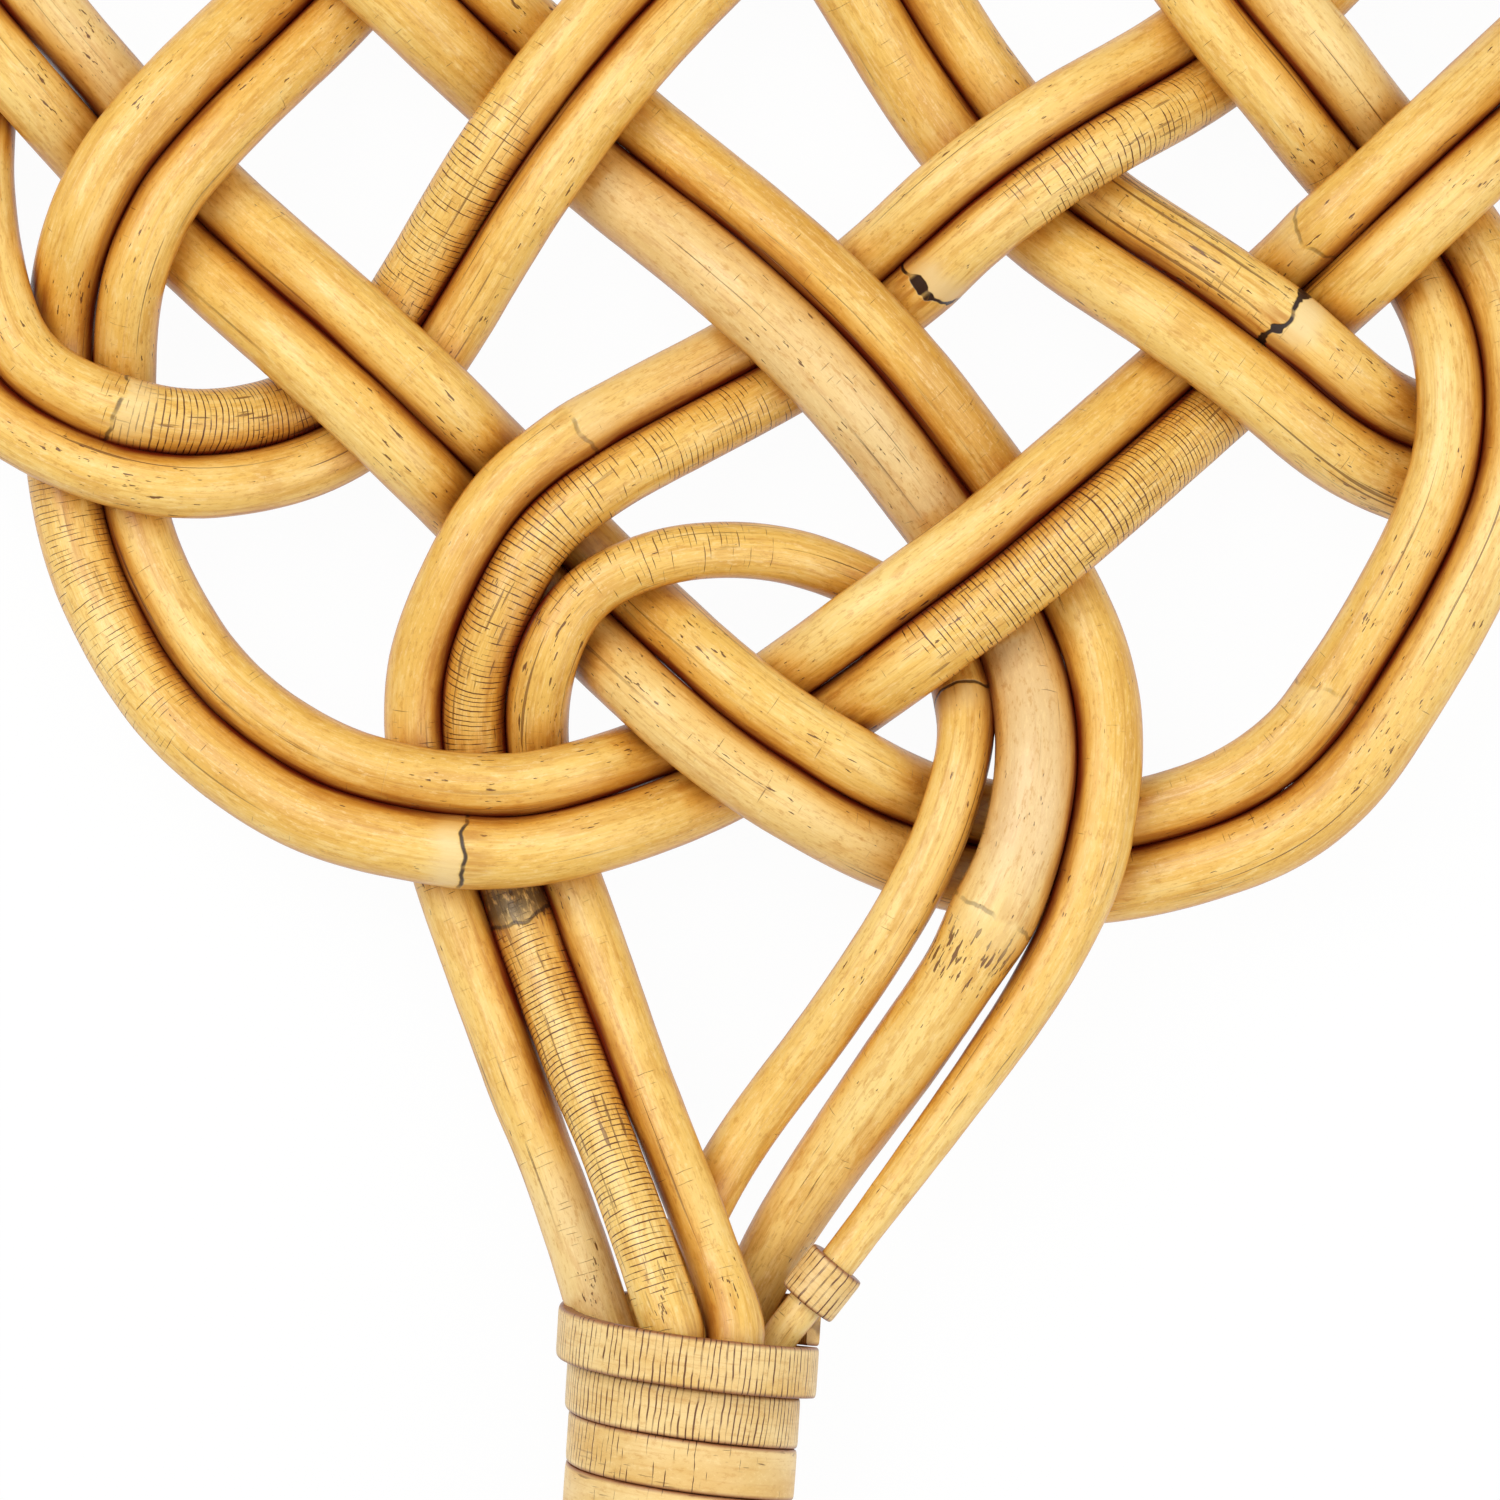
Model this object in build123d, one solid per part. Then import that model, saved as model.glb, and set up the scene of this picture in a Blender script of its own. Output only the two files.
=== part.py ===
from build123d import *
from math import acos, asin, ceil, cos, pi, radians, sin, sqrt
import os

# A woven rattan carpet beater, lying flat with its seen face up.
#
# The head is a knot of three canes. Two of them run side by side through the whole knot,
# over and under in turn, and the third makes the short arch between the legs. All six ends
# run down into the handle, round a core stick, and split cane is wound over them.
# +Y runs from the handle to the head, +X to the right, +Z up from the lying surface.

# The scale: places in the head are read in picture pixels, with the throat as reference
crossing_pitch = 43.75
crossing_pitch_pixels = 350
throat_pixel = (690, 1330)
picture_lean = 4
pixel = crossing_pitch / crossing_pitch_pixels

# Canes
outer_cane_diameter = 7.8
inner_cane_diameter = 7.5
arch_cane_diameter = 7.0
outer_girth_shares = (0.88, 0.95, 1.02, 1.06, 1.1, 1.12, 1.06, 1.0, 0.98, 1.0)
inner_girth_shares = (0.96, 1.0, 0.98, 1.0, 1.0, 1.04, 1.1, 1.2, 1.28, 1.3)
arch_girth_shares = (1.0, 1.02, 1.0, 1.0)
whittled_length = 40.0
cane_sides = 9
pair_gap = 0.4
crossing_gap = 0.7
crossing_margin = 3.0
corner_cut_share = 0.25
slight_turn = 6
station_tolerance = 0.25
tiny = 1e-6

# Handle, below the throat: the cane ends stand in a ring that is wider at the mouth
handle_length = 198.0
core_diameter = 9.2
core_gap = 0.15
mouth_flare_share = 1.25
mouth_height = -0.5
flare_depth = 6.0
outer_angles = (180, 0)
inner_angles = (114, 300)
arch_angles = (61, 240)

# Split cane wound over the handle
strip_width = 5.95
strip_thickness = 1.4
strip_pitch = 6.45
strip_seat = 0.3
neck_turns = 10
butt_turns = 4
neck_start = -3.6
butt_margin = 4.0
turn_parts = 4
gap_steps = 24

# Short strip round the right leg
cuff_turns = 0.9
cuff_width = 6.4
cuff_thickness = 0.8
cuff_pitch = 0.5
cuff_rise = 7.5

# Hanging loop at the butt
loop_diameter = 4.2
loop_gap = 0.3
loop_insert = 32.0
loop_width = 27.0
loop_length = 34.0
loop_sides = 8
loop_steps = 8

over = 1
under = -1
bend = 0

# Where pairs of canes cross, in pixels of the picture: rows count up from the throat
mid1 = (745, 740)
left2 = (513, 515)
right2 = (1015, 544)
far_left3 = (383, 384)
mid3 = (838, 322)
far_right3 = (1252, 336)
edge_left4 = (141, 173)
left4 = (563, 93)
right4 = (1008, 167)
edge_right4 = (1407, 191)
rim_left5 = (-45, -50)
far_left5 = (376, -74)
mid5 = (801, -160)
far_right5 = (1252, 28)
rim_right5 = (1600, 10)
edge_left6 = (138, -312)
left6 = (622, -351)
right6 = (1002, -336)
edge_right6 = (1464, -210)
far_left7 = (397, -570)
mid7 = (826, -537)
far_right7 = (1250, -515)
left8 = (600, -756)
right8 = (1075, -733)
mid9 = (855, -954)
lobe_left = (86, 438)
lobe_right = (1487, 468)
crown_left = (104, -641)
crown_right = (1557, -539)
eye_left = (557, -1073)
eye_right = (1156, -1031)

# The way of the seam between the two paired canes, from the left leg to the right leg
pair_route = (
    # Up the left leg, under the first lobe and round to the upper right
    ((642, 1306), bend), ((540, 1054), bend), ((449, 817), under), ((436, 672), bend),
    (left2, over), ((600, 450), bend), (mid3, under), (right4, over), (far_right5, under),
    (edge_right6, over), ((1545, -364), bend), (crown_right, under), ((1492, -744), bend),
    ((1359, -929), bend), (eye_right, over), ((1006, -1039), bend), (mid9, under),
    # Down the upper left edge and round the left lobe
    (left8, over), (far_left7, under), (edge_left6, over), ((3, -172), bend),
    (rim_left5, under), ((-62, 190), bend), ((-16, 376), bend), (lobe_left, over),
    ((190, 462), bend), ((300, 440), bend), (far_left3, under),
    # Up to the right, round the right crown and down to the lower left
    (left4, over), (mid5, under), (right6, over), (far_right7, under), ((1425, -583), bend),
    (crown_right, over), ((1663, -396), bend), ((1696, -224), bend), ((1676, -85), bend),
    (rim_right5, under), (edge_right4, over), (far_right3, under), (right2, over),
    ((925, 610), over), (mid1, under), ((650, 785), bend), ((535, 818), over),
    ((449, 817), over),
    # Round the lower left lobe, up to the right and round the eye at the top
    ((320, 790), bend), ((190, 700), bend), ((110, 560), bend), (lobe_left, under),
    ((91, 296), bend), (edge_left4, over), (far_left5, under), (left6, over), (mid7, under),
    (right8, over), ((1155, -853), bend), (eye_right, under), ((1115, -1166), bend),
    ((871, -1259), bend), ((616, -1201), bend), (eye_left, over), ((533, -896), bend),
    # Down to the right and round the lower right lobe
    (left8, under), (mid7, over), (right6, under), (far_right5, over), (edge_right4, under),
    ((1478, 300), bend), (lobe_right, over), ((1405, 638), bend), ((1300, 800), bend),
    ((1105, 862), under), ((930, 842), under), (mid1, over),
    # Up to the left and round the left crown
    ((605, 610), under), (left2, under), (far_left3, over), (edge_left4, under),
    (rim_left5, over), ((-110, -210), bend), ((-96, -409), bend), ((-9, -573), bend),
    (crown_left, under), ((238, -661), bend), (far_left7, over),
    # Down to the right and round the right lobe
    (left6, under), (mid5, over), (right4, under), (far_right3, over), ((1360, 428), bend),
    (lobe_right, under), ((1582, 430), bend), ((1636, 284), bend), ((1632, 130), bend),
    (rim_right5, over), (edge_right6, under), (far_right7, over), (right8, under),
    # Over the top, round the upper left and down the right leg
    (mid9, over), ((707, -1060), bend), (eye_left, under), ((342, -1000), bend),
    ((185, -836), bend), (crown_left, over), ((80, -477), bend), (edge_left6, under),
    (far_left5, over), (left4, under), (mid3, over), (right2, under), ((1083, 690), bend),
    ((1067, 857), over), ((1000, 988), bend), ((811, 1245), bend),
)

# The way of the short arch cane's middle, from the left leg to the right leg
arch_route = (
    ((737, 1312), over), ((640, 1054), bend), ((575, 890), bend), ((546, 817), under),
    ((530, 704), bend), ((570, 597), over), ((664, 551), bend), ((790, 548), bend),
    ((925, 612), under), ((966, 715), bend), ((936, 850), over), ((848, 1000), bend),
    ((719, 1169), under),
)

def girth(shares, along, length):
    """The girth at a length along a cane, whittled down to 1 near its two ends."""
    at = along / length * (len(shares) - 1)
    low = min(int(at), len(shares) - 2)
    full = shares[low] + (shares[low + 1] - shares[low]) * (at - low)
    return 1 + (full - 1) * min(1, along / whittled_length, (length - along) / whittled_length)


def place(spot):
    """A picture pixel's place in the flat head, from the throat."""
    lean = radians(picture_lean)
    right = (spot[0] - throat_pixel[0]) * pixel
    up = (throat_pixel[1] - spot[1]) * pixel
    return Vector(right * cos(lean) - up * sin(lean), right * sin(lean) + up * cos(lean), 0)


def turned_left(way):
    return Vector(-way.Y, way.X, 0)


def beside(corners, offsets):
    """The corners moved sideways to the left, each run staying parallel to itself."""
    moved = []
    for at, corner in enumerate(corners):
        before = corners[max(at - 1, 0)]
        after = corners[min(at + 1, len(corners) - 1)]
        way_in = (corner - before).normalized() if at else (after - corner).normalized()
        way_out = (after - corner).normalized() if after != corner else way_in
        normal = (turned_left(way_in) + turned_left(way_out)).normalized()
        half_turn = acos(max(-1, min(1, way_in.dot(way_out)))) / 2
        moved.append(corner + normal * (offsets[at] / cos(half_turn)))
    return moved


def bundle_radius(along, diameter=outer_cane_diameter):
    """From the handle's axis to the axis of a cane in the ring, wider near the mouth."""
    share = min(1, max(0, (flare_depth + along) / (flare_depth + mouth_height)))
    inner = core_diameter / 2 + core_gap + diameter / 2
    return inner * (1 + (mouth_flare_share - 1) * share)


def bundle_spot(angle, along, diameter):
    reach = bundle_radius(along, diameter)
    return Vector(reach * cos(radians(angle)), along, reach * sin(radians(angle)))


def strip_radius(along):
    """From the handle's axis to the middle of the strip wound over the cane ends."""
    cane_face = bundle_radius(along + strip_width / 2) + outer_cane_diameter / 2
    return cane_face + strip_seat + strip_thickness / 2


def lengths_along(corners):
    """The length of the way up to each corner."""
    so_far = [0]
    for before, after in zip(corners, corners[1:]):
        so_far.append(so_far[-1] + (after - before).length)
    return so_far


def cut_corners(corners, levels):
    """Two stations in place of each corner that turns, with the level of that corner."""
    stations = [(corners[0], levels[0])]
    for at in range(1, len(corners) - 1):
        before = corners[at - 1] - corners[at]
        after = corners[at + 1] - corners[at]
        if 180 - before.get_angle(after) < slight_turn:
            stations.append((corners[at], levels[at]))
            continue
        reach = corner_cut_share * min(before.length, after.length)
        for way in (before, after):
            stations.append((corners[at] + way.normalized() * reach, levels[at]))
    return stations + [(corners[-1], levels[-1])]


def crossings(own, other):
    """Where one way crosses another, or itself, seen from above.

    Each is a length along the way and how far it has to stay over or under there, which
    is further where the two cross at a slant.
    """
    walked = lengths_along(own)
    found = []
    for first in range(len(own) - 1):
        for second in range(len(other) - 1):
            if own is other and abs(first - second) < 2:
                continue
            run = own[first + 1] - own[first]
            rival = other[second + 1] - other[second]
            apart = other[second] - own[first]
            spread = run.X * rival.Y - run.Y * rival.X
            if spread == 0:
                continue
            share = (apart.X * rival.Y - apart.Y * rival.X) / spread
            rival_share = (apart.X * run.Y - apart.Y * run.X) / spread
            if 0 <= share < 1 and 0 <= rival_share < 1:
                slant = run.length * rival.length / abs(spread)
                found.append((walked[first] + share * run.length, crossing_margin * slant))
    return found


def point_along(corners, walked, length):
    """The point at a length along the way, and the run that it lies on."""
    run = max(at for at in range(len(walked) - 1) if walked[at] <= max(length, 0))
    way = (corners[run + 1] - corners[run]).normalized()
    return corners[run] + way * (length - walked[run])


def held_stretches(found, levels, walked):
    """Stretches that stay over or under: start, end and level, one for each crossing."""
    marked = [at for at, level in enumerate(levels) if level != bend]
    stretches = []
    for length, reach in sorted(found):
        if not reach < length < walked[-1] - reach:
            continue
        nearest = min(marked, key=lambda at: abs(walked[at] - length))
        level = levels[nearest]
        if stretches and stretches[-1][2] == level:
            stretches[-1][1] = max(length + reach, stretches[-1][1])
        else:
            stretches.append([length - reach, length + reach, level])
    return stretches


def thinned(stations):
    """The stations without those that lie almost on the run between their neighbours."""
    kept = [stations[0]]
    for station, after in zip(stations[1:], stations[2:]):
        run = after - kept[-1]
        away = (station - kept[-1]).cross(run).length / run.length
        if away > station_tolerance:
            kept.append(station)
    return kept + [stations[-1]]


def weave(stations, stretches, stretch_heights, first_height, last_height):
    """The stations at their heights, with two more at the ends of each held stretch."""
    walked = lengths_along(stations)
    heights = {0: first_height, walked[-1]: last_height}
    for (start, end, _), height in zip(stretches, stretch_heights):
        heights[start] = heights[end] = height
    known = sorted(heights)
    spots = dict(zip(walked, stations))
    for length in known:
        if length not in spots:
            spots[length] = point_along(stations, walked, length)
    woven = []
    for length in sorted(spots):
        high = next(at for at, key in enumerate(known) if key >= length - tiny)
        low = max(high - 1, 0)
        span = max(known[high] - known[low], tiny)
        share = min(1, (length - known[low]) / span)
        height = heights[known[low]] * (1 - share) + heights[known[high]] * share
        woven.append(Vector(spots[length].X, spots[length].Y, height))
    return woven


def mouths(angles, diameter):
    """Where a cane's two ends leave the handle."""
    return [bundle_spot(angle, mouth_height, diameter) for angle in angles]


def plan_way(route, side, diameter, shares, angles):
    """A cane's stations seen from above, from the handle's mouth round to it again."""
    spots = [place(spot) for spot, _ in route]
    levels = [level for _, level in route]
    so_far = lengths_along(spots)
    offsets = [side * (diameter / 2 * girth(shares, along, so_far[-1]) + pair_gap / 2)
               for along in so_far]
    ends = [Vector(spot.X, spot.Y, 0) for spot in mouths(angles, diameter)]
    corners = [ends[0]] + beside(spots, offsets) + [ends[1]]
    cut = cut_corners(corners, [bend] + levels + [bend])
    return [spot for spot, _ in cut], [level for _, level in cut]


# Each cane: its route, its side of the seam, diameter, girths and angles in the handle
cane_list = {
    "outer_cane": (pair_route, 1, outer_cane_diameter, outer_girth_shares, outer_angles),
    "inner_cane": (pair_route, -1, inner_cane_diameter, inner_girth_shares, inner_angles),
    "arch_cane": (arch_route, 0, arch_cane_diameter, arch_girth_shares, arch_angles),
}


def leaned(stations, crown):
    """The head's stations let down towards the crown, so that it lies as low as the handle."""
    handle_reach = strip_radius(-neck_start - strip_width / 2) + strip_thickness / 2
    drop = handle_reach - outer_cane_diameter - crossing_gap / 2
    return [station - Vector(0, 0, drop * max(0, station.Y) / crown) for station in stations]


def cane_ways():
    """The stations and radii of every cane, from butt to butt."""
    plans = {name: plan_way(*values) for name, values in cane_list.items()}
    crown = max(station.Y for stations, _ in plans.values() for station in stations)
    ways = {}
    for name, (_, _, diameter, shares, angles) in cane_list.items():
        stations, levels = plans[name]
        found = [each for other, _ in plans.values() for each in crossings(stations, other)]
        walked = lengths_along(stations)
        stretches = held_stretches(found, levels, walked)
        heights = [level * (diameter / 2 * girth(shares, start, walked[-1]) + crossing_gap / 2)
                   for start, _, level in stretches]
        first, last = mouths(angles, diameter)
        woven = thinned(weave(stations, stretches, heights, first.Z, last.Z))
        walked = lengths_along(woven)
        radii = [diameter / 2 * girth(shares, along, walked[-1]) for along in walked]
        tails = [[bundle_spot(angle, -depth, diameter) for depth in (flare_depth, handle_length)]
                 for angle in angles]
        woven = tails[0][::-1] + leaned(woven, crown) + tails[1]
        ways[name] = (woven, radii[:1] * 2 + radii + radii[-1:] * 2)
    return ways


def cane(stations, radii, sides):
    """A round cane through the stations, as a ruled loft of many-sided sections."""
    sections = []
    for at, station in enumerate(stations):
        before = stations[max(at - 1, 0)]
        after = stations[min(at + 1, len(stations) - 1)]
        way_in = (station - before).normalized() if at else (after - station).normalized()
        way_out = (after - station).normalized() if after != station else way_in
        way = (way_in + way_out).normalized()
        across = way.cross(Vector(0, 0, 1)).normalized()
        plane = Plane(origin=station, x_dir=across, z_dir=way)
        ring = [plane.from_local_coords(Vector(radii[at] * cos(2 * pi * side / sides),
                                               radii[at] * sin(2 * pi * side / sides), 0))
                for side in range(sides)]
        sections.append(Wire.make_polygon(ring, close=True))
    return Solid.make_loft(sections, ruled=True)


def biarc(start, start_way, end, end_way):
    """Two tangent arcs that leave one point along a way and reach another along its own."""
    chord = end - start
    spread = 2 * (1 - start_way.dot(end_way))
    across = chord.dot(start_way + end_way)
    reach = (sqrt(across * across + spread * chord.dot(chord)) - across) / spread
    middle = (start + start_way * reach + end - end_way * reach) * 0.5
    first = Edge.make_tangent_arc(start, start_way, middle)
    return [first, Edge.make_tangent_arc(middle, first % 1, end)]


def wound_spot(turn, start, pitch, radius_at):
    """A spot on the middle line of a strip wound round the Y axis, from behind it."""
    along = start - pitch * turn
    angle = 2 * pi * (turn + 0.5)
    return Vector(radius_at(along) * sin(angle), along, radius_at(along) * cos(angle))


def wound_strip(turns, start, pitch, radius_at, width, thickness):
    """A flat strip wound round the Y axis, swept along quarter turns of two arcs each."""
    def spot(turn):
        return wound_spot(turn, start, pitch, radius_at)

    def way(turn):
        return (spot(turn + tiny) - spot(turn - tiny)).normalized()

    parts = ceil(turns * turn_parts)
    marks = [turns * part / parts for part in range(parts + 1)]
    arcs = []
    for before, after in zip(marks, marks[1:]):
        leaving = arcs[-1] % 1 if arcs else way(before)
        arcs += biarc(spot(before), leaving, spot(after), way(after))
    path = Wire(arcs)
    section = Plane(origin=path @ 0, x_dir=(0, 1, 0), z_dir=path % 0) * Rectangle(width, thickness)
    axis = Edge.make_line((0, (path @ 0).Y, 0), (0, (path @ 1).Y, 0))
    return sweep(section, path=path, binormal=axis).solid()


def least_gap(turns, start, pitch, radius_at, width, thickness):
    """The least gap between a strip's turns, measured between its section corners."""
    rings = []
    for step in range(ceil(turns * gap_steps)):
        middle = wound_spot(step / gap_steps, start, pitch, radius_at)
        out = Vector(middle.X, 0, middle.Z).normalized() * (thickness / 2)
        rings.append([middle + out * side + Vector(0, edge * width / 2, 0)
                      for side in (1, -1) for edge in (1, -1)])
    return min((one - two).length
               for at, ring in enumerate(rings) for rival in rings[at + gap_steps // 2:]
               for one in ring for two in rival)


def handle_core():
    """The stick inside the ring of cane ends, which stops short of the hanging loop."""
    bottom = loop_insert + loop_gap - handle_length
    plane = Plane(origin=(0, bottom, 0), z_dir=(0, 1, 0))
    return Solid.make_cylinder(core_diameter / 2, -flare_depth - bottom, plane)


def leg_cuff(stations, radii):
    """The short strip round the right leg, just above the handle's mouth."""
    mouth, above = stations[-3], stations[-4]
    up = (above - mouth).normalized()
    across = up.cross(Vector(0, 0, 1)).normalized()
    leg = Plane(origin=mouth + up * cuff_rise, x_dir=across, z_dir=across.cross(up))
    reach = radii[-3] + strip_seat + cuff_thickness / 2
    cuff = wound_strip(cuff_turns, cuff_pitch * cuff_turns / 2, cuff_pitch,
                       lambda along: reach, cuff_width, cuff_thickness)
    return leg.location * cuff


def hanging_loop():
    """A thin cane bent to an eye, with its two legs side by side below the core."""
    leg = (loop_diameter + loop_gap) / 2
    reach = (loop_width - loop_diameter) / 2
    middle = Vector(0, reach + loop_diameter / 2 - loop_length - handle_length, 0)
    butt = Vector(leg, -handle_length - loop_diameter / 2, 0)
    first = radians(90) - asin(leg / (butt - middle).length) - acos(reach / (butt - middle).length)
    sweep_angle = 2 * first + pi
    eye = []
    for step in range(loop_steps + 1):
        angle = first - sweep_angle * step / loop_steps
        eye.append(middle + Vector(reach * cos(angle), reach * sin(angle), 0))
    top = Vector(leg, loop_insert - handle_length, 0)
    mirrored = [Vector(-spot.X, spot.Y, 0) for spot in (butt, top)]
    corners = [top, butt] + eye + mirrored
    stations = [spot for spot, _ in cut_corners(corners, [bend] * len(corners))]
    return cane(stations, [loop_diameter / 2] * len(stations), loop_sides)


def handle_bindings():
    """The same strip wound twice: at the neck below the mouth, and near the butt."""
    butt_start = butt_margin + strip_width + strip_pitch * butt_turns - handle_length
    pieces = []
    for end, turns, start in (("neck", neck_turns, -neck_start), ("butt", butt_turns, butt_start)):
        middle = start - strip_width / 2
        strip = (turns, middle, strip_pitch, strip_radius, strip_width, strip_thickness)
        pieces.append(wound_strip(*strip))
        print(end, "binding, least gap to itself", round(least_gap(*strip), 2), "mm")
    return Compound(pieces)


ways = cane_ways()
solids = {name: cane(*way, cane_sides) for name, way in ways.items()}
solids["handle_core"] = handle_core()
solids["handle_bindings"] = handle_bindings()
solids["leg_cuff"] = leg_cuff(*ways["outer_cane"])
solids["hanging_loop"] = hanging_loop()

# The origin is below the middle of the whole beater, on the surface that it lies on
box = Compound(list(solids.values())).bounding_box()
to_origin = Location((-box.center().X, -box.center().Y, -box.min.Z))
os.makedirs("parts", exist_ok=True)
for name, solid in solids.items():
    export_step(solid.moved(to_origin), f"parts/{name}.step")
print("size", *(round(size, 1) for size in (box.size.X, box.size.Y, box.size.Z)), "mm")
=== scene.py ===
# The looks of a woven rattan carpet beater, lying flat with its seen face up.
#
# The canes, the wound strips and the hanging loop are built along the same ways as the
# solids of the frame. Lengths are in metres. Places in the head are read in picture pixels.
import math

import bpy
import numpy as np
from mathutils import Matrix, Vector, kdtree


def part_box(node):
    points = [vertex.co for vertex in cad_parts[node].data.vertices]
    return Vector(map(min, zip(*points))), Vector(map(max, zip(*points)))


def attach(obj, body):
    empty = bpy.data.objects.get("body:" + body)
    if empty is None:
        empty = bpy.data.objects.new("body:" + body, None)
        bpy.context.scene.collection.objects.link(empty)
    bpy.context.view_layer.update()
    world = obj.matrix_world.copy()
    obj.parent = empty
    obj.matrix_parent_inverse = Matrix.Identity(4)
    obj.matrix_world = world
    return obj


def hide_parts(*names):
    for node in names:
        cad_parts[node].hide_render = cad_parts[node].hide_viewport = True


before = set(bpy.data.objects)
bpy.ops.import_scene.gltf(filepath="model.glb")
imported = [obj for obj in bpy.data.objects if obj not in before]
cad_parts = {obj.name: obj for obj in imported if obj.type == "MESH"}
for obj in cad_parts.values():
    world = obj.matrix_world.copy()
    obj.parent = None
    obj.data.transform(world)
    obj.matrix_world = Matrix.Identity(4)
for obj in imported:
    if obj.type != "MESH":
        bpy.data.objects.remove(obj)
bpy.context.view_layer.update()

mm = 0.001

# The scale of the picture, with the throat above the handle as reference
picture_size = 1500
crossing_pitch = 43.75 * mm
crossing_pitch_pixels = 350
throat_pixel = (690, 1330)
picture_lean = math.radians(4)
pixel = crossing_pitch / crossing_pitch_pixels

# Canes
outer_cane_diameter = 7.8 * mm
inner_cane_diameter = 7.5 * mm
arch_cane_diameter = 7.0 * mm
outer_girth_shares = (0.88, 0.95, 1.02, 1.06, 1.1, 1.12, 1.06, 1.0, 0.98, 1.0)
inner_girth_shares = (0.96, 1.0, 0.98, 1.0, 1.0, 1.04, 1.1, 1.2, 1.28, 1.3)
arch_girth_shares = (1.0, 1.02, 1.0, 1.0)
whittled_length = 40 * mm
pair_gap = 0.4 * mm
crossing_gap = 0.7 * mm
snug_gap = 0.9 * mm
snug_overlap = 0.1 * mm
snug_cosine = 0.85
snug_reach = 6.0 * mm
own_stretch = 25 * mm
crossing_margin = 3.0 * mm
mouth_margin = 6.0 * mm
corner_cut_share = 0.25
slight_turn = math.radians(6)
ring_pitch = 1.15 * mm
bend_softness = 3.0 * mm
cane_sides = 24

# Handle, below the throat
handle_length = 198 * mm
core_diameter = 9.2 * mm
core_gap = 0.15 * mm
mouth_flare_share = 1.25
mouth_height = -0.5 * mm
flare_depth = 6 * mm
outer_angles = (180, 0)
inner_angles = (114, 300)
arch_angles = (61, 240)
outer_mouth_angles = (180, 0)
inner_mouth_angles = (98, 300)
arch_mouth_angles = (54, 240)

# Split cane wound over the handle
strip_width = 5.95 * mm
strip_thickness = 1.4 * mm
strip_pitch = 6.45 * mm
strip_seat = 0.3 * mm
shown_strip_width = 6.35 * mm
shown_strip_thickness = 1.7 * mm
neck_turns = 10
butt_turns = 4
early_turn = 0.22
neck_start = -3.6 * mm
butt_margin = 4.0 * mm
strip_steps = 72

# Short strip round the right leg
cuff_turns = 0.9
cuff_width = 6.4 * mm
cuff_thickness = 0.8 * mm
cuff_pitch = 0.5 * mm
cuff_rise = 7.5 * mm

# Hanging loop at the butt
loop_diameter = 4.2 * mm
loop_gap = 0.3 * mm
loop_insert = 32 * mm
loop_width = 27 * mm
loop_length = 34 * mm
loop_steps = 24

over = 1
under = -1
bend = 0

# Where pairs of canes cross, in pixels of the picture: rows count up from the throat
mid1 = (745, 740)
left2 = (513, 515)
right2 = (1015, 544)
far_left3 = (383, 384)
mid3 = (838, 322)
far_right3 = (1252, 336)
edge_left4 = (141, 173)
left4 = (563, 93)
right4 = (1008, 167)
edge_right4 = (1407, 191)
rim_left5 = (-45, -50)
far_left5 = (376, -74)
mid5 = (801, -160)
far_right5 = (1252, 28)
rim_right5 = (1600, 10)
edge_left6 = (138, -312)
left6 = (622, -351)
right6 = (1002, -336)
edge_right6 = (1464, -210)
far_left7 = (397, -570)
mid7 = (826, -537)
far_right7 = (1250, -515)
left8 = (600, -756)
right8 = (1075, -733)
mid9 = (855, -954)
lobe_left = (86, 438)
lobe_right = (1487, 468)
crown_left = (104, -641)
crown_right = (1557, -539)
eye_left = (557, -1073)
eye_right = (1156, -1031)

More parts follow.
